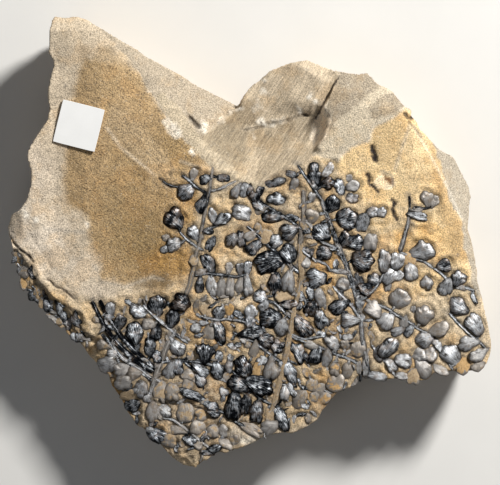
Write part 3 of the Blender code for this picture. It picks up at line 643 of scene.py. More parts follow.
# A stem is (half width in px at its start and end, bareness, pixel points).
LEFT_STEMS = [
    (1.1, 1.5, .75, [(213, 167), (211, 180), (209, 195), (206, 208), (203, 222), (200, 240), (197, 252)]),
    (1.7, 2.1, .95, [(197, 250), (195, 262), (192, 275), (190, 285), (186, 295)]),
    (.7, 1.0, .1, [(211, 186), (208, 200), (204, 215), (202, 230)]),
    (1.3, 1.0, .1, [(182, 175), (190, 181), (199, 189), (207, 193)]),
    (1.1, .9, .3, [(180, 232), (188, 240), (197, 248), (204, 250)]),
    (1.2, .8, .5, [(210, 191), (221, 189), (229, 184), (236, 181)]),
    (.9, .8, .2, [(241, 183), (248, 188), (255, 194)]),
    (1.4, 1.1, .3, [(203, 230), (214, 227), (222, 222)]),
    (1.3, 1.1, .1, [(195, 276), (205, 273), (216, 274), (236, 277), (249, 274)]),
]
CENTRE_LEAFLETS = [
    (259, 206, 14, 8, 150, .1), (259, 211, 9, 6, 200, .6), (276, 199, 16, 11, 170, .2),
    (292, 217, 12, 5, 170, .05), (272, 217, 20, 11, 180, .08), (289, 231, 16, 14, 200, .2),
    (250, 236, 12, 8, 200, .5), (258, 227, 7, 6, 120, .8), (266, 236, 14, 9, 70, 1),
    (254, 248, 14, 11, 215, .15), (276, 241, 12, 12, 180, .25), (288, 253, 17, 15, 110, .1),
    (268, 262, 24, 20, 200, .05), (260, 296, 13, 12, 130, .2), (264, 306, 11, 9, 240, .3),
    (275, 283, 20, 12, 260, .03), (288, 282, 20, 12, 260, .4), (284, 296, 15, 9, 200, 1),
    (289, 304, 17, 10, 10, .05), (270, 318, 19, 17, 180, .05), (281, 328, 15, 12, 265, .35),
    (205, 309, 12, 10, 90, 1), (196, 308, 13, 5, 90, .7), (219, 313, 12, 11, 100, .2),
    (229, 310, 12, 9, 90, .9), (239, 315, 12, 6, 150, .15), (251, 312, 14, 11, 60, .3),
    (250, 322, 12, 9, 90, .15), (196, 328, 10, 8, 200, .35), (203, 323, 7, 5, 180, .3),
    (208, 333, 14, 12, 250, .6), (219, 332, 20, 12, 280, .1), (253, 332, 20, 13, 10, .05),
    (238, 345, 6, 5, 0, .2), (248, 345, 6, 6, 0, .7), (254, 351, 15, 8, 260, .6),
    (266, 340, 14, 13, 330, .08), (277, 346, 14, 13, 330, .08), (263, 361, 13, 9, 200, .3),
    (271, 371, 17, 13, 260, .45), (257, 369, 14, 8, 270, .9), (243, 367, 19, 17, 120, .02),
    (259, 386, 25, 18, 340, .02), (236, 385, 19, 15, 170, .03), (224, 392, 10, 7, 300, .3),
    (233, 406, 26, 15, 260, .03), (246, 404, 20, 9, 265, .06), (257, 412, 19, 13, 270, .15),
    (211, 406, 14, 9, 340, .1), (214, 413, 12, 8, 330, .1), (250, 429, 24, 9, 330, .6),
    (280, 417, 25, 11, 290, .1), (270, 427, 18, 12, 200, .5), (290, 372, 22, 11, 300, .2),
    (285, 392, 15, 9, 260, .35), (292, 390, 14, 6, 290, .25), (298, 400, 16, 11, 260, .6),
    (305, 406, 9, 5, 340, .3), (312, 385, 12, 10, 100, .8), (320, 390, 12, 9, 80, .8),
    (325, 398, 12, 9, 60, .8), (314, 397, 10, 8, 90, .8), (308, 418, 9, 6, 90, .6),
    (335, 383, 18, 14, 30, .7), (312, 197, 9, 7, 90, .4), (312, 216, 13, 11, 90, .6),
    (307, 231, 8, 6, 180, .05), (321, 232, 18, 16, 130, .12), (306, 250, 7, 6, 150, .1),
    (312, 252, 7, 4, 90, .05), (323, 254, 15, 14, 180, .15), (306, 263, 9, 8, 250, .45),
    (316, 278, 18, 17, 190, .2), (338, 271, 18, 5, 0, .3), (310, 293, 12, 7, 110, .2),
    (320, 297, 17, 9, 290, .45), (311, 308, 15, 12, 250, .05), (321, 320, 18, 13, 290, .15),
    (306, 311, 10, 5, 110, .15), (303, 326, 22, 14, 310, .12), (298, 352, 20, 12, 110, .15),
    (307, 358, 12, 5, 300, .1), (311, 345, 12, 8, 160, .5), (316, 355, 16, 12, 250, .08),
    (326, 359, 16, 10, 260, .4), (335, 369, 12, 10, 260, .65), (348, 371, 14, 10, 270, .6),
    (332, 343, 15, 11, 150, .4), (348, 337, 10, 6, 180, .4), (345, 345, 9, 8, 90, .6),
    (359, 368, 12, 5, 90, .5),
]
CENTRE_STEMS = [
    (2.0, 2.6, .72, [(303, 190), (304, 205), (304, 218), (302, 230), (300, 245)]),
    (2.1, 2.5, 1.4, [(301, 240), (300, 262), (302, 275), (300, 290), (294, 310), (291, 330), (287, 350),
                     (284, 365), (279, 385), (274, 405), (267, 428)]),
    (1.2, 1.6, .1, [(251, 196), (265, 205), (280, 214), (292, 222), (302, 229)]),
    (1.3, 2.0, .1, [(247, 226), (256, 234), (266, 243), (276, 252), (288, 263), (300, 273)]),
    (1.0, 1.4, .2, [(254, 298), (266, 300), (275, 303), (284, 311), (291, 318)]),
    (1.3, 1.2, .3, [(200, 316), (215, 320), (228, 319), (240, 321), (256, 324)]),
    (1.1, 1.7, .15, [(233, 332), (244, 338), (256, 342), (266, 351), (276, 359), (283, 364)]),
    (1.1, 1.7, .1, [(222, 365), (236, 374), (247, 386), (257, 396), (272, 404)]),
    (1.1, 1.5, .1, [(204, 402), (216, 409), (228, 415), (240, 424), (262, 432)]),
    (1.4, 1.2, .3, [(302, 250), (305, 253), (315, 260), (327, 265)]),
    (1.2, 1.0, .2, [(300, 290), (306, 300), (306, 307)]),
    (1.2, 1.0, .3, [(291, 334), (306, 340), (325, 335)]),
    (1.2, 1.6, .2, [(291, 336), (305, 342), (320, 347), (335, 354), (350, 359), (362, 366)]),
]
RIGHT_LEAFLETS = [
    (275, 182, 20, 8, 195, .2), (291, 174, 12, 6, 165, .15), (294, 185, 13, 8, 250, .45),
    (315, 174, 18, 12, 95, .1), (328, 170, 15, 8, 50, .4), (328, 184, 14, 12, 20, .05),
    (316, 185, 10, 7, 100, .3), (339, 187, 15, 10, 120, .2), (349, 178, 7, 6, 90, .5),
    (353, 186, 12, 9, 20, .45), (352, 198, 12, 9, 0, .2), (332, 205, 17, 12, 60, .03),
    (347, 219, 19, 18, 0, .12), (363, 223, 18, 12, 250, .25), (373, 212, 11, 10, 10, .3),
    (381, 212, 10, 10, 10, .3), (346, 240, 14, 16, 40, .1), (356, 243, 13, 14, 10, .1),
    (371, 242, 16, 12, 270, .5), (364, 260, 22, 19, 0, .08), (343, 284, 12, 11, 120, .45),
    (338, 307, 17, 13, 200, .1), (349, 321, 16, 14, 190, .3), (360, 302, 12, 9, 90, .25),
    (362, 317, 8, 6, 90, .3), (357, 349, 15, 14, 80, .7), (366, 365, 20, 6, 90, .35),
    (374, 280, 12, 12, 180, .15), (359, 283, 17, 9, 100, .2), (366, 290, 15, 11, 320, .05),
]
RIGHT_STEMS = [
    (1.7, 2.5, .5, [(322, 200), (325, 210), (330, 222), (335, 236), (340, 250), (346, 264), (351, 278),
                     (355, 292), (359, 306), (361, 320), (362, 335), (364, 350), (367, 365), (369, 377)]),
    (1.2, 1.4, .1, [(298, 165), (306, 178), (315, 190), (322, 200)]),
    (1.3, 1.5, .3, [(320, 241), (333, 246), (340, 252)]),
    (1.3, 1.6, .25, [(333, 286), (343, 298), (350, 303), (356, 312), (359, 318)]),
    (1.4, 1.2, .3, [(363, 300), (375, 289), (382, 276), (388, 269)]),
]
FAR_RIGHT_LEAFLETS = [
    (427, 198, 13, 11, 100, .55), (434, 201, 11, 9, 60, .55), (418, 210, 9, 4, 0, .5),
    (419, 216, 16, 8, 345, .25), (422, 251, 20, 18, 20, .35), (444, 265, 14, 11, 20, .15),
    (459, 278, 13, 13, 60, .2), (445, 288, 14, 14, 250, .3), (427, 283, 12, 11, 250, .35),
    (459, 287, 12, 5, 350, .4), (474, 299, 11, 5, 300, .2), (458, 306, 20, 14, 140, .25),
    (475, 325, 22, 14, 120, .3), (468, 344, 18, 12, 200, .4), (477, 355, 15, 12, 210, .45),
    (478, 366, 12, 9, 200, .6), (463, 366, 15, 13, 260, 1), (451, 356, 22, 16, 140, .3),
    (437, 345, 13, 7, 125, .3), (419, 355, 13, 13, 0, .45), (430, 355, 12, 13, 0, .45),
    (425, 340, 16, 13, 200, .3), (440, 328, 18, 13, 20, .55), (424, 315, 18, 16, 70, .5),
    (399, 299, 18, 18, 60, .45), (413, 309, 6, 5, 90, .4), (404, 323, 11, 8, 250, .5),
    (409, 331, 12, 8, 240, .2), (397, 331, 13, 8, 200, .3), (385, 320, 17, 15, 230, .4),
    (374, 309, 18, 13, 130, .5), (388, 347, 21, 15, 50, .2), (380, 353, 15, 11, 250, .3),
    (403, 361, 16, 13, 330, .35), (391, 366, 14, 10, 300, .3), (377, 376, 18, 8, 170, .3),
    (423, 368, 18, 14, 300, .5), (413, 376, 15, 11, 270, .9), (402, 376, 12, 7, 0, .4),
    (441, 370, 16, 8, 330, .5), (384, 260, 20, 11, 95, .3), (397, 261, 17, 13, 90, .35),
    (410, 259, 13, 12, 90, 1), (411, 272, 17, 12, 290, .4), (390, 277, 16, 12, 50, .3),
    (398, 276, 12, 8, 20, .35), (388, 286, 11, 7, 260, .45),
]
FAR_RIGHT_STEMS = [
    (1.0, 2.5, .5, [(410, 207), (409, 220), (406, 232), (402, 245), (400, 252)]),
    (1.2, 1.3, .3, [(400, 252), (412, 257), (425, 262), (437, 270), (446, 278), (456, 286), (474, 290)]),
    (1.2, 1.3, .3, [(366, 300), (387, 308), (400, 317), (412, 324), (422, 331), (432, 335)]),
    (1.2, 1.3, .3, [(449, 313), (457, 322), (465, 330), (476, 339), (486, 348)]),
    (1.2, 1.3, .3, [(433, 338), (440, 347), (445, 356), (450, 365), (453, 370)]),
    (1.2, 1.3, .3, [(372, 345), (380, 355), (390, 368), (396, 376)]),
    (1.2, .8, .05, [(414, 207), (425, 209), (432, 206)]),
]
LOWER_LEFT_LEAFLETS = [
    (172, 319, 17, 12, 80, .1), (128, 302, 8, 4, 145, .15), (138, 311, 15, 13, 160, .25),
    (110, 309, 12, 10, 100, .3), (108, 317, 8, 7, 180, .2), (96, 320, 7, 6, 150, .7),
    (120, 322, 14, 10, 70, .15), (134, 334, 19, 15, 100, .12), (148, 324, 12, 10, 170, .55),
    (156, 333, 14, 10, 260, .08), (157, 306, 19, 16, 100, .12), (150, 347, 17, 10, 100, .1),
    (156, 356, 13, 9, 300, .08), (102, 345, 10, 8, 160, .65), (113, 354, 11, 8, 165, .35),
    (108, 364, 17, 15, 200, .4), (121, 369, 13, 12, 200, .5), (133, 374, 12, 11, 190, .55),
    (123, 383, 16, 13, 195, .5), (127, 387, 10, 7, 200, .2), (140, 389, 15, 15, 230, .35),
    (169, 372, 15, 12, 250, .35), (178, 368, 14, 11, 280, .15), (188, 375, 12, 10, 0, .7),
    (161, 391, 18, 14, 250, .8), (172, 392, 16, 13, 280, .7), (147, 397, 10, 8, 260, .35),
    (130, 396, 18, 11, 180, 1), (132, 405, 15, 12, 200, .1), (188, 384, 12, 10, 260, .8),
    (193, 396, 26, 9, 340, .1), (200, 381, 12, 10, 300, .2), (177, 348, 16, 13, 300, .3),
    (206, 352, 16, 15, 90, .05), (219, 356, 10, 8, 90, .2), (230, 358, 7, 6, 90, .3),
    (229, 367, 11, 8, 270, .25), (217, 371, 16, 12, 290, .15), (202, 371, 14, 10, 320, .2),
    (190, 356, 9, 7, 90, .8), (152, 413, 18, 11, 265, .5), (165, 411, 14, 11, 300, .35),
    (185, 412, 18, 15, 270, .8), (198, 427, 15, 14, 260, .7), (203, 414, 14, 11, 200, .75),
    (175, 429, 11, 10, 160, .6), (170, 441, 13, 13, 270, .8), (157, 435, 18, 13, 320, .1),
    (150, 430, 8, 6, 180, .35), (190, 441, 13, 9, 330, .15), (198, 445, 10, 8, 330, .65),
    (213, 431, 13, 11, 270, .7), (223, 431, 12, 9, 270, .5), (214, 449, 14, 8, 10, .05),
    (226, 444, 14, 8, 320, .6), (234, 440, 10, 9, 90, .7), (182, 444, 6, 6, 0, .7),
]
LOWER_LEFT_STEMS = [
    (2.4, 3.0, .6, [(176, 330), (172, 335), (167, 346), (162, 359), (157, 372), (154, 382), (151, 392),
                     (149, 400), (156, 408), (162, 420)]),
    (1.2, 3.2, .12, [(92, 301), (98, 312), (104, 325), (112, 337), (122, 348), (133, 358), (154, 371)]),
    (1.2, 2.8, .12, [(100, 300), (104, 310), (112, 322), (120, 335), (130, 346), (142, 357), (154, 368)]),
    (1.2, 2.2, .45, [(102, 334), (110, 342), (118, 354), (128, 362), (140, 369), (150, 378), (155, 380)]),
    (1.3, 1.6, .3, [(143, 305), (152, 314), (162, 323), (172, 331), (180, 338), (188, 343)]),
    (1.6, 1.4, .1, [(160, 362), (180, 360), (196, 362), (210, 364), (220, 370)]),
    (1.4, 1.2, .2, [(185, 362), (192, 368), (199, 374)]),
    (1.4, 1.2, .5, [(162, 418), (175, 420), (185, 428), (197, 438), (207, 446), (211, 450)]),
    (1.2, 1.0, .3, [(206, 430), (209, 440)]),
]
SCRAP_LEAFLETS = [
    (17, 257, 10, 8, 120, .85), (24, 271, 13, 10, 240, .6), (24, 283, 12, 7, 250, .9),
    (32, 273, 12, 5, 110, .1), (34, 296, 11, 8, 180, .2), (42, 296, 18, 7, 110, 1),
    (46, 296, 14, 4, 110, .1), (48, 306, 14, 7, 300, .05), (60, 304, 10, 4, 330, .05),
    (62, 316, 11, 8, 300, .1), (66, 325, 12, 9, 300, .1), (76, 320, 14, 9, 120, .1),
    (77, 327, 7, 4, 0, 1), (54, 319, 8, 6, 300, .4), (79, 337, 10, 7, 300, .1),
]
SCRAP_STEMS = [
    (1.1, 1.0, .1, [(80, 330), (85, 333), (89, 340)]),
    (.8, .6, .05, [(409, 196), (410, 207)]),
    (.6, .5, .1, [(163, 181), (170, 186), (178, 187)]),
]

slab_seen = slab.evaluated_get(bpy.context.evaluated_depsgraph_get())


def ground(x, y):
    """Height of the finished stone at a place in plan."""
    return height_on(slab_seen, x, y)


def waver(x, y, z):
    """Smooth noise from -1 to 1 at places given by three lists of coordinates, or single ones."""
    return np.array([noise.noise(Vector(place)) for place in np.broadcast(x, y, z)])


# The leaflet pattern is a thick disc with three rings and a fan of faces on its top.
LEAFLET_SIDES = 20
RING_WIDTHS = (0.11, 0.21, 0.30)
BOXINESS = 2.7
bpy.ops.object.select_all(action="DESELECT")
bpy.ops.mesh.primitive_cylinder_add(vertices=LEAFLET_SIDES, radius=1.0, depth=1.0)
pattern = bpy.context.object
pattern.name = "leaflet_pattern"
for face in pattern.data.polygons:
    face.select = face.normal.z > 0.9
bpy.ops.object.mode_set(mode="EDIT")
bpy.ops.mesh.select_mode(type="FACE")
for ring_width in RING_WIDTHS:
    bpy.ops.mesh.inset(thickness=ring_width)
bpy.ops.mesh.poke()
bpy.ops.object.mode_set(mode="OBJECT")
disc = read(pattern.data.vertices, "co")
out = np.minimum(np.hypot(disc[:, 0], disc[:, 1]), 1.0)
round_disc = np.arctan2(disc[:, 1], disc[:, 0])
on_top = disc[:, 2] > 0.0
distal = smooth((np.cos(round_disc) + 0.8) / 1.1)
boxy = (np.abs(np.cos(round_disc)) ** BOXINESS + np.abs(np.sin(round_disc)) ** BOXINESS) ** (-1 / BOXINESS)
LEAFLET_GROWTH = 1.2
LEAFLET_RISE = 0.33
LEAFLET_RISE_LIMITS = (0.38 * MM, 1.25 * MM)
LEAFLET_ROOT = 0.4 * MM
LEAFLET_SLOPE_LIMIT = 0.3
GRIT_BUMPS = 1300.0
GRIT_HEIGHT_MM = 0.10
VEIN_ROOT = 1.3


def leaflet(entry, number, tail, torn):
    """One leaflet: the pattern drawn out to a cushion with rounded lobes and creases between them, and
    drawn back in a narrow foot that is tail pixels long. A torn one is flat, bowed and ragged."""
    px, py, length, width, heading, bareness = entry
    chance = random.Random(number * 7 + 3)
    made = bpy.data.objects.new("leaflet", pattern.data.copy())
    bpy.context.scene.collection.objects.link(made)
    # Its outline is boxy, creased between the lobes and a little ragged.
    lobes = chance.choice((3, 3, 4, 4, 5, 5))
    slant = chance.choice((0.0, 1.57)) + chance.uniform(-0.3, 0.3)
    crease = (1.0 - np.abs(np.cos(round_disc * lobes / 2 + slant))) ** 2 * distal
    dish = chance.choice((0.0, 0.0, 0.3, 0.6))
    ragged = waver(np.cos(round_disc) * 1.4, np.sin(round_disc) * 1.4, number * 1.7)
    radius = out * boxy * (1.0 - chance.uniform(0.10, 0.28) * crease * out + (0.28 + 0.14 * torn) * ragged)
    u = radius * np.cos(round_disc)
    v = radius * np.sin(round_disc) * (0.74 + 0.26 * smooth((u + 1.0) / 1.1)) * 1.06
    # It narrows towards its foot and bows to one side.
    back = np.clip(-u, 0.0, 1.0)
    foot = tail / (length / 2)
    v *= 1.0 - 0.45 * back ** 1.5 * min(foot * 2.0, 1.0)
    v += chance.uniform(-0.14, 0.14) * (0.6 - u * u) * (1.0 + 2.2 * torn * length / width)
    # Its dome is creased and lumpy, in some dished, with a groove up the middle and lower on one side.
    lump = waver(u * 1.9, v * 1.9, number * 2.3)
    dome = np.clip(1.0 - out ** 2.2, 0.0, 1.0) ** 0.72 * (0.74 + 0.26 * smooth(u * 0.6 + 0.7))
    dome *= 1.0 - chance.uniform(0.25, 0.60) * crease * out ** 0.8 + 0.32 * lump
    dome *= 1.0 - dish * np.exp(-((u - 0.1) ** 2 + v ** 2) / 0.16)
    dome -= 0.16 * bell(v, 0.13) * smooth((0.5 - u) / 0.9) * (1.0 - out ** 2)
    dome += 0.10 * chance.uniform(-1.0, 1.0) * v
    rise = np.clip(width * PX * LEAFLET_RISE, *LEAFLET_RISE_LIMITS) * chance.uniform(0.8, 1.15)
    rise *= (1.0 - 0.5 * bareness) * (1.0 - 0.35 * torn)
    turn = math.radians(heading + chance.uniform(-8.0, 8.0))
    forward = (u * LEAFLET_GROWTH - foot * back ** 2) * length * PX / 2
    sideway = v * width * PX / 2 * LEAFLET_GROWTH
    grit = waver(forward * GRIT_BUMPS, sideway * GRIT_BUMPS, number * 1.3) * GRIT_HEIGHT_MM * MM
    # It lies on the stone and slopes with it, and its wall goes down into it.
    cx, cy = plan([(px, py)])[0]
    world_x = cx + forward * math.cos(turn) - sideway * math.sin(turn)
    world_y = cy + forward * math.sin(turn) + sideway * math.cos(turn)
    reach = 0.3 * min(length, width) * PX
    east, west = ground(cx + reach, cy), ground(cx - reach, cy)
    north, south = ground(cx, cy + reach), ground(cx, cy - reach)
    base = np.nanmedian((east, west, north, south, ground(cx, cy)))
    slopes = np.nan_to_num(((east - west) / (2 * reach), (north - south) / (2 * reach)))
    slope_x, slope_y = np.clip(slopes, -LEAFLET_SLOPE_LIMIT, LEAFLET_SLOPE_LIMIT)
    world_z = base + slope_x * (world_x - cx) + slope_y * (world_y - cy)
    bulge = np.maximum(dome * rise + grit * np.sqrt(dome.clip(0.0)), 0.0)
    world_z += np.where(on_top, bulge, -LEAFLET_ROOT)
    made.data.vertices.foreach_set("co", np.stack((world_x, world_y, world_z), axis=1).ravel())
    # Its edge value darkens the film at the rim, partly its own dark margin and partly painted shade, and in
    # the creases between the lobes, which is painted shade.
    finish_film(made.data, np.full(len(u), bareness), np.maximum(out ** 7, 0.8 * crease * out),
                chance.random(), np.arctan2(v, u + VEIN_ROOT) / math.pi + 0.5, np.hypot(u + VEIN_ROOT, v))
    return made


def finish_film(mesh, bareness, edge, chance, round_base, from_base):
    """The attributes and the UV map that the coal's material reads."""
    for name, values in (("bareness", bareness), ("edge", edge), ("chance", np.full(len(edge), chance))):
        mesh.attributes.new(name, "FLOAT", "POINT").data.foreach_set("value", values)
    while mesh.uv_layers:
        mesh.uv_layers.remove(mesh.uv_layers[0])
    layer = mesh.uv_layers.new(name="veins")
    corners = np.zeros(len(mesh.loops), dtype=int)
    mesh.loops.foreach_get("vertex_index", corners)
    layer.data.foreach_set("uv", np.stack((round_base[corners], from_base[corners]), axis=1).ravel())


def eased(line):
    """A line of places or levels, evened out between its ends."""
    for _ in range(3):
        line[1:-1] = (line[:-2] + 2 * line[1:-1] + line[2:]) / 4
    return line


# Across a stem: place from -1 to 1 and height. A thin one is a single ridge with a step at its side, and
# a thick one a flat strap with low ribs.
THIN_PROFILE = np.array([(-1.0, -0.9), (-0.9, 0.15), (-0.62, 0.70), (-0.30, 0.98), (0.02, 1.0), (0.30, 0.66),
                         (0.52, 0.62), (0.86, 0.28), (1.0, -0.9)])
STRAP_PROFILE = np.array([(-1.0, -0.9), (-0.92, 0.42), (-0.72, 0.66), (-0.42, 0.30), (-0.08, 0.56),
                          (0.20, 0.78), (0.50, 0.40), (0.84, 0.52), (1.0, -0.9)])
THICK_PX = 1.75
THIN_STEM = {"profile": THIN_PROFILE, "steepness": 0.24, "sink_mm": 0.4, "edge_power": 2}
STRAP_STEM = {"profile": STRAP_PROFILE, "steepness": 0.17, "sink_mm": 0.5, "edge_power": 3}
STEM_STEP = 0.6 * MM
STEM_SHEET = 0.12 * MM
TAPER_LENGTH = 0.5 * MM
SWAY_MM = 0.18


def stem(entry, number):
    """One stem: a ribbed strip laid along a smooth line on the stone, sinking into it here and there."""
    start_half, end_half, bareness, points = entry
    thick_one = max(start_half, end_half) > THICK_PX
    kind = STRAP_STEM if thick_one else THIN_STEM
    profile = kind["profile"]
    line = plan(points)
    lengths = np.concatenate(((0.0,), np.cumsum(np.linalg.norm(line[1:] - line[:-1], axis=1))))
    steps = max(4, int(lengths[-1] / STEM_STEP))
    shares = np.linspace(0.0, lengths[-1], steps + 1)
    path = eased(np.stack([np.interp(shares, lengths, line[:, axis]) for axis in (0, 1)], axis=1))
    heading = np.gradient(path, axis=0)
    heading /= np.linalg.norm(heading, axis=1)[:, None]
    normal = np.stack((-heading[:, 1], heading[:, 0]), axis=1)
    sway = waver(shares * 330.0, number * 2.1, 4.0) * SWAY_MM * MM
    path[1:-1] += normal[1:-1] * sway[1:-1, None]
    half = np.interp(shares, (0.0, lengths[-1]), (start_half, end_half)) * PX
    half *= 1.0 + 0.3 * waver(shares * 400.0, number * 3.1, 0.0)
    half *= np.minimum(1.0, 0.25 + np.minimum(shares, lengths[-1] - shares) / TAPER_LENGTH)
    levels = np.array([ground(*place) for place in path])
    levels[np.isnan(levels)] = np.nanmin(levels)
    hidden = np.maximum(waver(shares * 420.0, number * 1.9, 7.0), 0.0)
    levels = eased(levels - hidden * kind["sink_mm"] * MM)
    bpy.ops.object.select_all(action="DESELECT")
    bpy.ops.mesh.primitive_grid_add(x_subdivisions=len(profile) - 1, y_subdivisions=steps, size=1.0)
    made = bpy.context.object
    sheet = read(made.data.vertices, "co")
    row = np.rint((sheet[:, 1] + 0.5) * steps).astype(int)
    column = np.rint((sheet[:, 0] + 0.5) * (len(profile) - 1)).astype(int)
    wide = profile[column, 0] * half[row]
    uneven = waver(shares[row] * 900.0, column * 0.9, number * 1.3)
    rise = profile[column, 1] * (half[row] * kind["steepness"] + 0.06 * MM) * (1.0 + 0.25 * uneven)
    places = np.column_stack((path[row] + normal[row] * wide[:, None], levels[row] + rise))
    made.data.vertices.foreach_set("co", places.ravel())
    wear = bareness * 0.85 + 0.2 * waver(shares[row] * 240.0, number * 5.0, 1.0)
    # Its sides, and on a strap the low grooves, are marked darker for the film: in the grooves this is
    # painted shade, at the sides partly so.
    margin = np.abs(profile[column, 0]) ** kind["edge_power"]
    if thick_one:
        margin = np.maximum(margin, np.where((profile[column, 1] < 0.45) & (uneven > -0.1), 0.8, 0.0))
    finish_film(made.data, np.clip(wear, -0.4, 1.6), margin, 0.2,
                profile[column, 0] * 0.5 + 0.5, shares[row] / MM)
    pick(made)
    apply_modifier(made, "underside", "SOLIDIFY", thickness=STEM_SHEET, offset=-1.0)
    return made


RIDGE_SIDES = (-0.8, -0.1, 0.6)
RIDGE_HALVES = (0.6, 0.85)
RIDGE_LESS_BARE = 0.4
DIAGONAL = 0.7


def strands(entry):
    """The fine ridges of a wide stem, spread from its narrow end along the picture's rising diagonal."""
    start_half, end_half, bareness, points = entry
    ridges = []
    for side in RIDGE_SIDES:
        offsets = [side * (start_half + (end_half - start_half) * number / (len(points) - 1)) * DIAGONAL
                   for number in range(len(points))]
        beside = [(x + offset, y - offset) for (x, y), offset in zip(points, offsets)]
        ridges.append((*RIDGE_HALVES, bareness - RIDGE_LESS_BARE, beside))
    return ridges


FOOT_SHARE = 0.45
PARTS = 6


def foot_place(entry, stems):
    """A leaflet's foot, the nearest point of its frond's stems, and how far apart they are, in pixels."""
    px, py, length, _, heading, _ = entry
    turn = math.radians(heading)
    root = (px - math.cos(turn) * length * FOOT_SHARE, py + math.sin(turn) * length * FOOT_SHARE)
    samples = [(a[0] + (b[0] - a[0]) * t / PARTS, a[1] + (b[1] - a[1]) * t / PARTS)
               for _, _, _, points in stems
               for a, b in zip(points[:-1], points[1:])
               for t in range(PARTS + 1)]
    near = min(samples, key=lambda sample: math.hypot(sample[0] - root[0], sample[1] - root[1]))
    return root, near, math.hypot(near[0] - root[0], near[1] - root[1])


# The coal: black and glossy where whole, bluish grey where thin, and ochre stone where it has flaked.
coal, shader, start, where = new_material("coal_film")
bareness = start.attribute("bareness")
edge = start.attribute("edge")
chance = start.attribute("chance")
fanned = start.mapped(start.result("ShaderNodeUVMap", {"uv_map": "veins"}), (58.0, 1.6, 1.0))
veins = start.noise(fanned, 1.0, 2.0, 0.5).step(0.34, 0.68)
patches = start.noise(where, 640.0, 3.0, 0.6)
crumbs = start.noise(where, 2100.0, 3.0, 0.6)
flaked = (patches + crumbs * 0.12 + bareness * 0.85 - edge * 0.30 - 1.19).step(-0.04, 0.06)
mottle = start.noise(where, 1250.0, 3.0, 0.6)
thin = (bareness * 1.0 + mottle * 0.65 + patches * 1.1 + veins * 0.28 - edge * 0.4).step(0.90, 1.50)
film = thin.blend(rgba(tone(16, 19, 24)), rgba(tone(222, 228, 236)))
brown = (patches * 1.3 + chance * 0.2).step(0.76, 0.94) * 0.55
film = brown.blend(film, rgba(tone(110, 86, 62)))
film = (bareness.step(0.12, 0.65) * 0.8).blend(film, rgba(tone(140, 125, 106)))
# It is darker at its edges: at a rim partly the film's own dark margin and partly painted shade, in creases
# and grooves painted shade.
film = (edge * 0.6).blend(film, rgba(tone(14, 14, 15)))
cast = (crumbs * 0.3 + chance * 0.9).step(0.72, 1.08)
cast = cast.blend(rgba(tone(176, 154, 124)), rgba(tone(202, 162, 106)))
cast = (crumbs.step(0.46, 0.66) * 0.5).blend(cast, rgba(tone(118, 93, 64)))
feed(flaked.blend(film, cast), shader.inputs["Base Color"])
feed(0.31 + thin * 0.06 + flaked * 0.38 + crumbs * 0.16, shader.inputs["Roughness"])
feed((1.0 - flaked) * (0.92 - bareness * 0.7), shader.inputs["Metallic"])
height = veins * 0.42 + crumbs * 0.14 + mottle * 0.28 + patches * 0.8 - flaked * 0.3
feed(start.bump(height, 0.8, 0.15 * MM), shader.inputs["Normal"])

FRONDS = [
    ("frond_left", "coal_film_left", LEFT_LEAFLETS, LEFT_STEMS),
    ("frond_centre", "coal_film_centre", CENTRE_LEAFLETS, CENTRE_STEMS),
    ("frond_right", "coal_film_right", RIGHT_LEAFLETS, RIGHT_STEMS),
    ("pinnae_far_right", "coal_film_far_right", FAR_RIGHT_LEAFLETS, FAR_RIGHT_STEMS),
    ("frond_lower_left", "coal_film_lower_left", LOWER_LEFT_LEAFLETS, LOWER_LEFT_STEMS),
]

# Between the fronds lie worn scraps of others, of which the photograph shows many but no clear outlines.
CROWDED = [(100, 305), (160, 295), (205, 295), (262, 292), (300, 200), (330, 215), (345, 270), (372, 300),
           (372, 375), (345, 395), (300, 425), (262, 438), (232, 425), (205, 462), (150, 440), (112, 380)]
MOST_SCRAPS = 260
SCRAP_TRIES = 4200
SCRAP_LENGTHS = (5.0, 11.0)
TRIED_X, TRIED_Y = (95, 375), (195, 460)
draw = random.Random(5)
tries = [(draw.uniform(*TRIED_X), draw.uniform(*TRIED_Y)) for _ in range(SCRAP_TRIES)]
allowed = within(plan(tries), CROWDED, 0.1 * MM) > 0.5
taken = [(px, py, (length + width) / 4)
         for _, _, leaflets, _ in FRONDS for px, py, length, width, _, _ in leaflets]
scraps = list(SCRAP_LEAFLETS)


def is_clear(px, py, margin, closeness):
    """Whether a place keeps a margin in pixels from all that is there, which may overlap by its closeness."""
    return all(math.hypot(px - x, py - y) > radius * closeness + margin for x, y, radius in taken)


for (px, py), fits in zip(tries, allowed):
    length = draw.uniform(*SCRAP_LENGTHS)
    width = length * draw.uniform(0.2, 0.55)
    entry = (px, py, length, width, draw.uniform(0.0, 360.0), draw.uniform(0.0, 0.8))
    if fits and len(scraps) < MOST_SCRAPS and is_clear(px, py, length * 0.26, 0.85):
        scraps.append(entry)
        taken.append((px, py, length * 0.4))
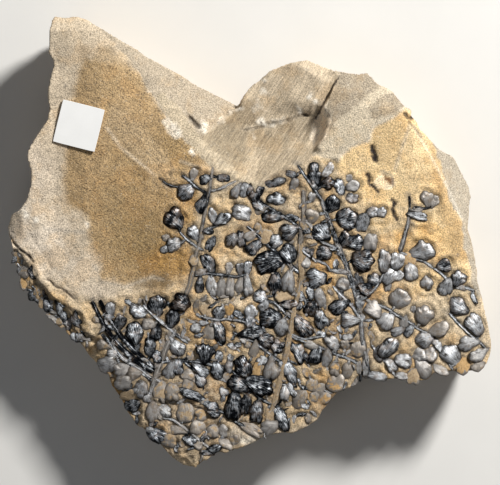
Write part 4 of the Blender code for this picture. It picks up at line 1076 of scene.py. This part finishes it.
# More of them lie crowded in the strip below the left rim, most along it.
STRIP = [(14, 254), (21, 272), (31, 289), (45, 304), (59, 317), (72, 329), (83, 341)]
STRIP_HALF = 5.0
STRIP_TURN = 45.0
STRIP_TRIES = 110
for _ in range(STRIP_TRIES):
    share = draw.uniform(0.0, len(STRIP) - 1.001)
    (x1, y1), (x2, y2) = STRIP[int(share)], STRIP[int(share) + 1]
    px = x1 + (x2 - x1) * (share % 1.0) + draw.uniform(-STRIP_HALF, STRIP_HALF)
    py = y1 + (y2 - y1) * (share % 1.0) + draw.uniform(-STRIP_HALF, STRIP_HALF)
    length = draw.uniform(*SCRAP_LENGTHS)
    heading = math.degrees(math.atan2(y1 - y2, x2 - x1)) + draw.uniform(-STRIP_TURN, STRIP_TURN)
    entry = (px, py, length, length * draw.uniform(0.3, 0.7), heading, draw.uniform(0.1, 1.3))
    if is_clear(px, py, length * 0.18, 0.4) and not math.isnan(ground(*plan([(px, py)])[0])):
        scraps.append(entry)
        taken.append((px, py, length / 2))
FRONDS.append(("plant_scraps", "coal_film_lower_left", scraps, SCRAP_STEMS))
LOWER_LEFT_STEMS += [ridge for entry in LOWER_LEFT_STEMS[1:4] for ridge in strands(entry)]
CENTRE_STEMS += strands(CENTRE_STEMS[1])
RIGHT_STEMS += strands(RIGHT_STEMS[0])

# A leaflet near its stem has a foot, and one a little farther off a stalk too, with reaches in pixels.
FOOT_REACH = 6.0
STALK_REACHES = (2.5, 9.0)
STALK_HALVES = (1.0, 1.8)
number = 0
for node, slot_name, leaflets, stems in FRONDS:
    made = []
    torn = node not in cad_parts
    for entry in leaflets:
        number += 1
        root, near, gap = foot_place(entry, stems)
        made.append(leaflet(entry, number, gap if gap < FOOT_REACH and not torn else 0.0, torn))
        if STALK_REACHES[0] < gap < STALK_REACHES[1] and not torn:
            made.append(stem((*STALK_HALVES, min(entry[5], 0.5), [near, root]), number))
    for entry in stems:
        number += 1
        made.append(stem(entry, number))
    pick(*made)
    bpy.ops.object.join()
    frond = bpy.context.object
    frond.name = node + "_coal"
    frond.data.name = frond.name
    bpy.ops.object.shade_smooth()
    frond.data.materials.clear()
    frond.data.materials.append(coal)
    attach(frond, "root")
    if not torn:
        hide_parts(node)
bpy.data.objects.remove(pattern)

# The stone swells a little round each leaflet and dips beside it and beside each stem, and is darker in that
# # angle: partly film left in it and partly painted shade. A thin smear of film greys it along the stems.
COLLAR_MM, DIP_MM = 0.24, 0.17
COLLAR_AWAY, COLLAR_HALF = 0.7 * MM, 0.45 * MM
HALO_HALF, STEM_HALO_HALF = 0.32 * MM, 0.3 * MM
FILM_EDGE = 0.3 * MM
SMEAR_HALF = 1.3 * MM
PAINTED_SHADE_DARKNESS = 0.46
dip_and_painted_shade, collar, covered, film_smear = np.zeros((4, count))
for _, _, leaflets, stems in FRONDS:
    for px, py, length, width, heading, _ in leaflets:
        turn = math.radians(heading)
        apart = flat - plan([(px, py)])[0]
        close = np.flatnonzero(np.abs(apart).max(axis=1) < max(length, width) * PX)
        forward = apart[close] @ (math.cos(turn), math.sin(turn)) / (length * PX / 2 * LEAFLET_GROWTH)
        sideway = apart[close] @ (-math.sin(turn), math.cos(turn)) / (width * PX / 2 * LEAFLET_GROWTH)
        ring = (np.hypot(forward, sideway) - 1.0) * min(length, width) * PX / 2
        dip_and_painted_shade[close] = np.maximum(dip_and_painted_shade[close], bell(ring, HALO_HALF))
        collar[close] = np.maximum(collar[close], bell(ring - COLLAR_AWAY, COLLAR_HALF))
        covered[close] = np.maximum(covered[close], smooth(0.5 - ring / FILM_EDGE))
    for start_half, end_half, _, points in stems:
        gap, _ = along(flat, points)
        beside = np.abs(gap) - (start_half + end_half) / 2 * PX
        dip_and_painted_shade = np.maximum(dip_and_painted_shade, 0.8 * bell(beside, STEM_HALO_HALF))
        covered = np.maximum(covered, smooth(1.5 - beside / FILM_EDGE))
        film_smear = np.maximum(film_smear, bell(gap, SMEAR_HALF))
lay(tone(112, 110, 106), smooth(film_smear * 1.1 + 0.9 * medium + 0.5 * fine - 0.35) * 0.5 * upward)
dip_and_painted_shade *= upward
spots[:, 2] += (collar * (1.0 - covered) * upward * COLLAR_MM - dip_and_painted_shade * DIP_MM) * MM
spots[:, 2] = np.minimum(spots[:, 2], high_corner[2])
# Painted shade, with the film left in the angle, darkens the stone beside the leaflets and stems.
paint *= (1.0 - PAINTED_SHADE_DARKNESS * dip_and_painted_shade * np.clip(0.8 + 0.9 * fine + 0.5 * medium, 0.0, 1.2))[:, None]
slab.data.vertices.foreach_set("co", spots.ravel())
colours = np.column_stack((np.clip(paint, 0.005, 1.0), np.ones(count)))
stone_colour = slab.data.color_attributes.new("stone_colour", "FLOAT_COLOR", "POINT")
stone_colour.data.foreach_set("color", colours.ravel())

# What the stone's material reads at each place: hackles, crumbs of plant, weathering and broken layers.
crowd = within(flat, CROWDED, 6 * MM)
SHARES = {"streaked": scoop * upward, "littered": np.clip(0.35 * bed + 0.65 * crowd, 0.0, 1.0) * upward,
          "weathered": within(flat, PLATEAU, 2.4 * MM) * upward, "broken": sideways}
for name, values in SHARES.items():
    slab.data.attributes.new(name, "FLOAT", "POINT").data.foreach_set("value", values)
pick(slab)
bpy.ops.object.shade_smooth()
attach(slab, "root")
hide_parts("matrix")

# The scale square
# A square centimetre of stiff white card, blank, laid loose on the cover rock and sloping with it. It was
# cut by hand, so its corners are very slightly rubbed.
CARD_SIDE = 10.0 * MM
CARD_THICK = 0.4 * MM
CARD_RUB = 0.05 * MM
CARD_CUTS = 9
CARD_FIT, CARD_THICK_FIT = 0.995, 0.96
CORNER_RUB, RUB_POWER = 0.012, 6
CARD_TURN = math.radians(-14.1)
CARD_SLOPE = (0.136, 0.023)
card_low, card_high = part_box("scale_square")
bpy.ops.object.select_all(action="DESELECT")
bpy.ops.mesh.primitive_cube_add(size=1.0)
card = bpy.context.object
card.name = "white_card_square"
bpy.ops.object.mode_set(mode="EDIT")
bpy.ops.mesh.select_all(action="SELECT")
bpy.ops.transform.resize(value=(CARD_SIDE * CARD_FIT, CARD_SIDE * CARD_FIT, CARD_THICK * CARD_THICK_FIT))
bpy.ops.mesh.subdivide(number_cuts=CARD_CUTS)
bpy.ops.object.mode_set(mode="OBJECT")
apply_modifier(card, "rubbed_edges", "BEVEL", width=CARD_RUB, segments=2, limit_method="ANGLE")
tilt = Vector((0.0, 0.0, 1.0)).rotation_difference(Vector((-CARD_SLOPE[0], -CARD_SLOPE[1], 1.0)))
in_plan = Vector((-math.sin(CARD_TURN), math.cos(CARD_TURN), 0.0))
spin = Vector((0.0, 1.0, 0.0)).rotation_difference(in_plan)
centre = (card_low + card_high) / 2
for vertex in card.data.vertices:
    u, v = vertex.co.x / CARD_SIDE * 2, vertex.co.y / CARD_SIDE * 2
    rubbed = 1.0 - CORNER_RUB * (abs(u * v) ** RUB_POWER)
    flat_place = Vector((vertex.co.x * rubbed, vertex.co.y * rubbed, vertex.co.z))
    flat_place.rotate(spin)
    flat_place.rotate(tilt)
    vertex.co = flat_place + centre
# It comes down until its underside touches the stone.
slab_seen = slab.evaluated_get(bpy.context.evaluated_depsgraph_get())
drop = np.nanmin([vertex.co.z - ground(vertex.co.x, vertex.co.y) for vertex in card.data.vertices])
for vertex in card.data.vertices:
    vertex.co.z -= float(drop)
card_finish, shader, start, where = new_material("white_card")
fibres = start.noise(where, 5200.0, 3.0, 0.6)
smudge = start.noise(where, 260.0, 2.0, 0.5)
clean = (smudge * 0.7 + fibres * 0.3).step(0.3, 0.75)
feed(clean.blend(rgba((0.95, 0.948, 0.94)), rgba((0.995, 0.992, 0.985))), shader.inputs["Base Color"])
shader.inputs["Roughness"].default_value = 0.62
feed(start.bump(fibres, 0.25, 0.02 * MM), shader.inputs["Normal"])
card.data.materials.append(card_finish)
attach(card, "root")
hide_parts("scale_square")

# The floor and the light
# A pale matt table just below the slab, under a plain studio light from the photograph's top right and a
# weak one from the other side.
FLOOR_SIDE = 2.4
FLOOR_GAP = 0.2 * MM
LIT_SPOT = (0.0, 0.0, 0.01)
bpy.ops.object.select_all(action="DESELECT")
bpy.ops.mesh.primitive_plane_add(size=FLOOR_SIDE, location=(0.0, 0.0, -FLOOR_GAP))
floor = bpy.context.object
floor.name = "pale_floor"
floor_finish, shader, start, where = new_material("pale_floor")
soft_grain = start.noise(where, 60.0, 3.0, 0.5)
feed(soft_grain.blend(rgba((0.70, 0.69, 0.67)), rgba((0.76, 0.75, 0.73))), shader.inputs["Base Color"])
shader.inputs["Roughness"].default_value = 0.9
floor.data.materials.append(floor_finish)


def softbox(name, place, size, power, colour):
    """A square area light that faces the slab."""
    light = bpy.data.lights.new(name, "AREA")
    light.shape = "SQUARE"
    light.size = size
    light.energy = power
    light.color = colour
    holder = bpy.data.objects.new(name, light)
    bpy.context.scene.collection.objects.link(holder)
    holder.location = place
    holder.rotation_euler = (Vector(LIT_SPOT) - Vector(place)).to_track_quat("-Z", "Y").to_euler()


softbox("key", (0.40, 0.46, 0.45), size=0.12, power=9.2, colour=(1.0, 0.985, 0.95))
softbox("fill", (-0.35, -0.35, 0.75), size=0.7, power=0.8, colour=(0.93, 0.96, 1.0))
world = bpy.data.worlds.new("studio")
world.use_nodes = True
sky = world.node_tree.nodes["Background"]
sky.inputs["Color"].default_value = (0.95, 0.97, 1.0, 1.0)
sky.inputs["Strength"].default_value = 0.07
bpy.context.scene.world = world
bpy.context.scene.view_settings.view_transform = "Standard"

# The camera looks straight down, as the photograph does, and its lens is set so that the bed of the plants
# fills the same part of the frame.
CAMERA_HEIGHT = 1.3
BEDDING_Z = 18.0 * MM
FRAME_PX = (500.0, 485.0)
camera_data = bpy.data.cameras.new("camera")
camera = bpy.data.objects.new("camera", camera_data)
bpy.context.scene.collection.objects.link(camera)
aim_x, aim_y = plan([(FRAME_PX[0] / 2, FRAME_PX[1] / 2)])[0]
camera.location = (aim_x, aim_y, CAMERA_HEIGHT)
camera_data.sensor_width = 36.0
camera_data.lens = camera_data.sensor_width * (CAMERA_HEIGHT - BEDDING_Z) / (FRAME_PX[0] * PX)
camera_data.clip_start = 0.05
camera_data.clip_end = 10.0
bpy.context.scene.camera = camera
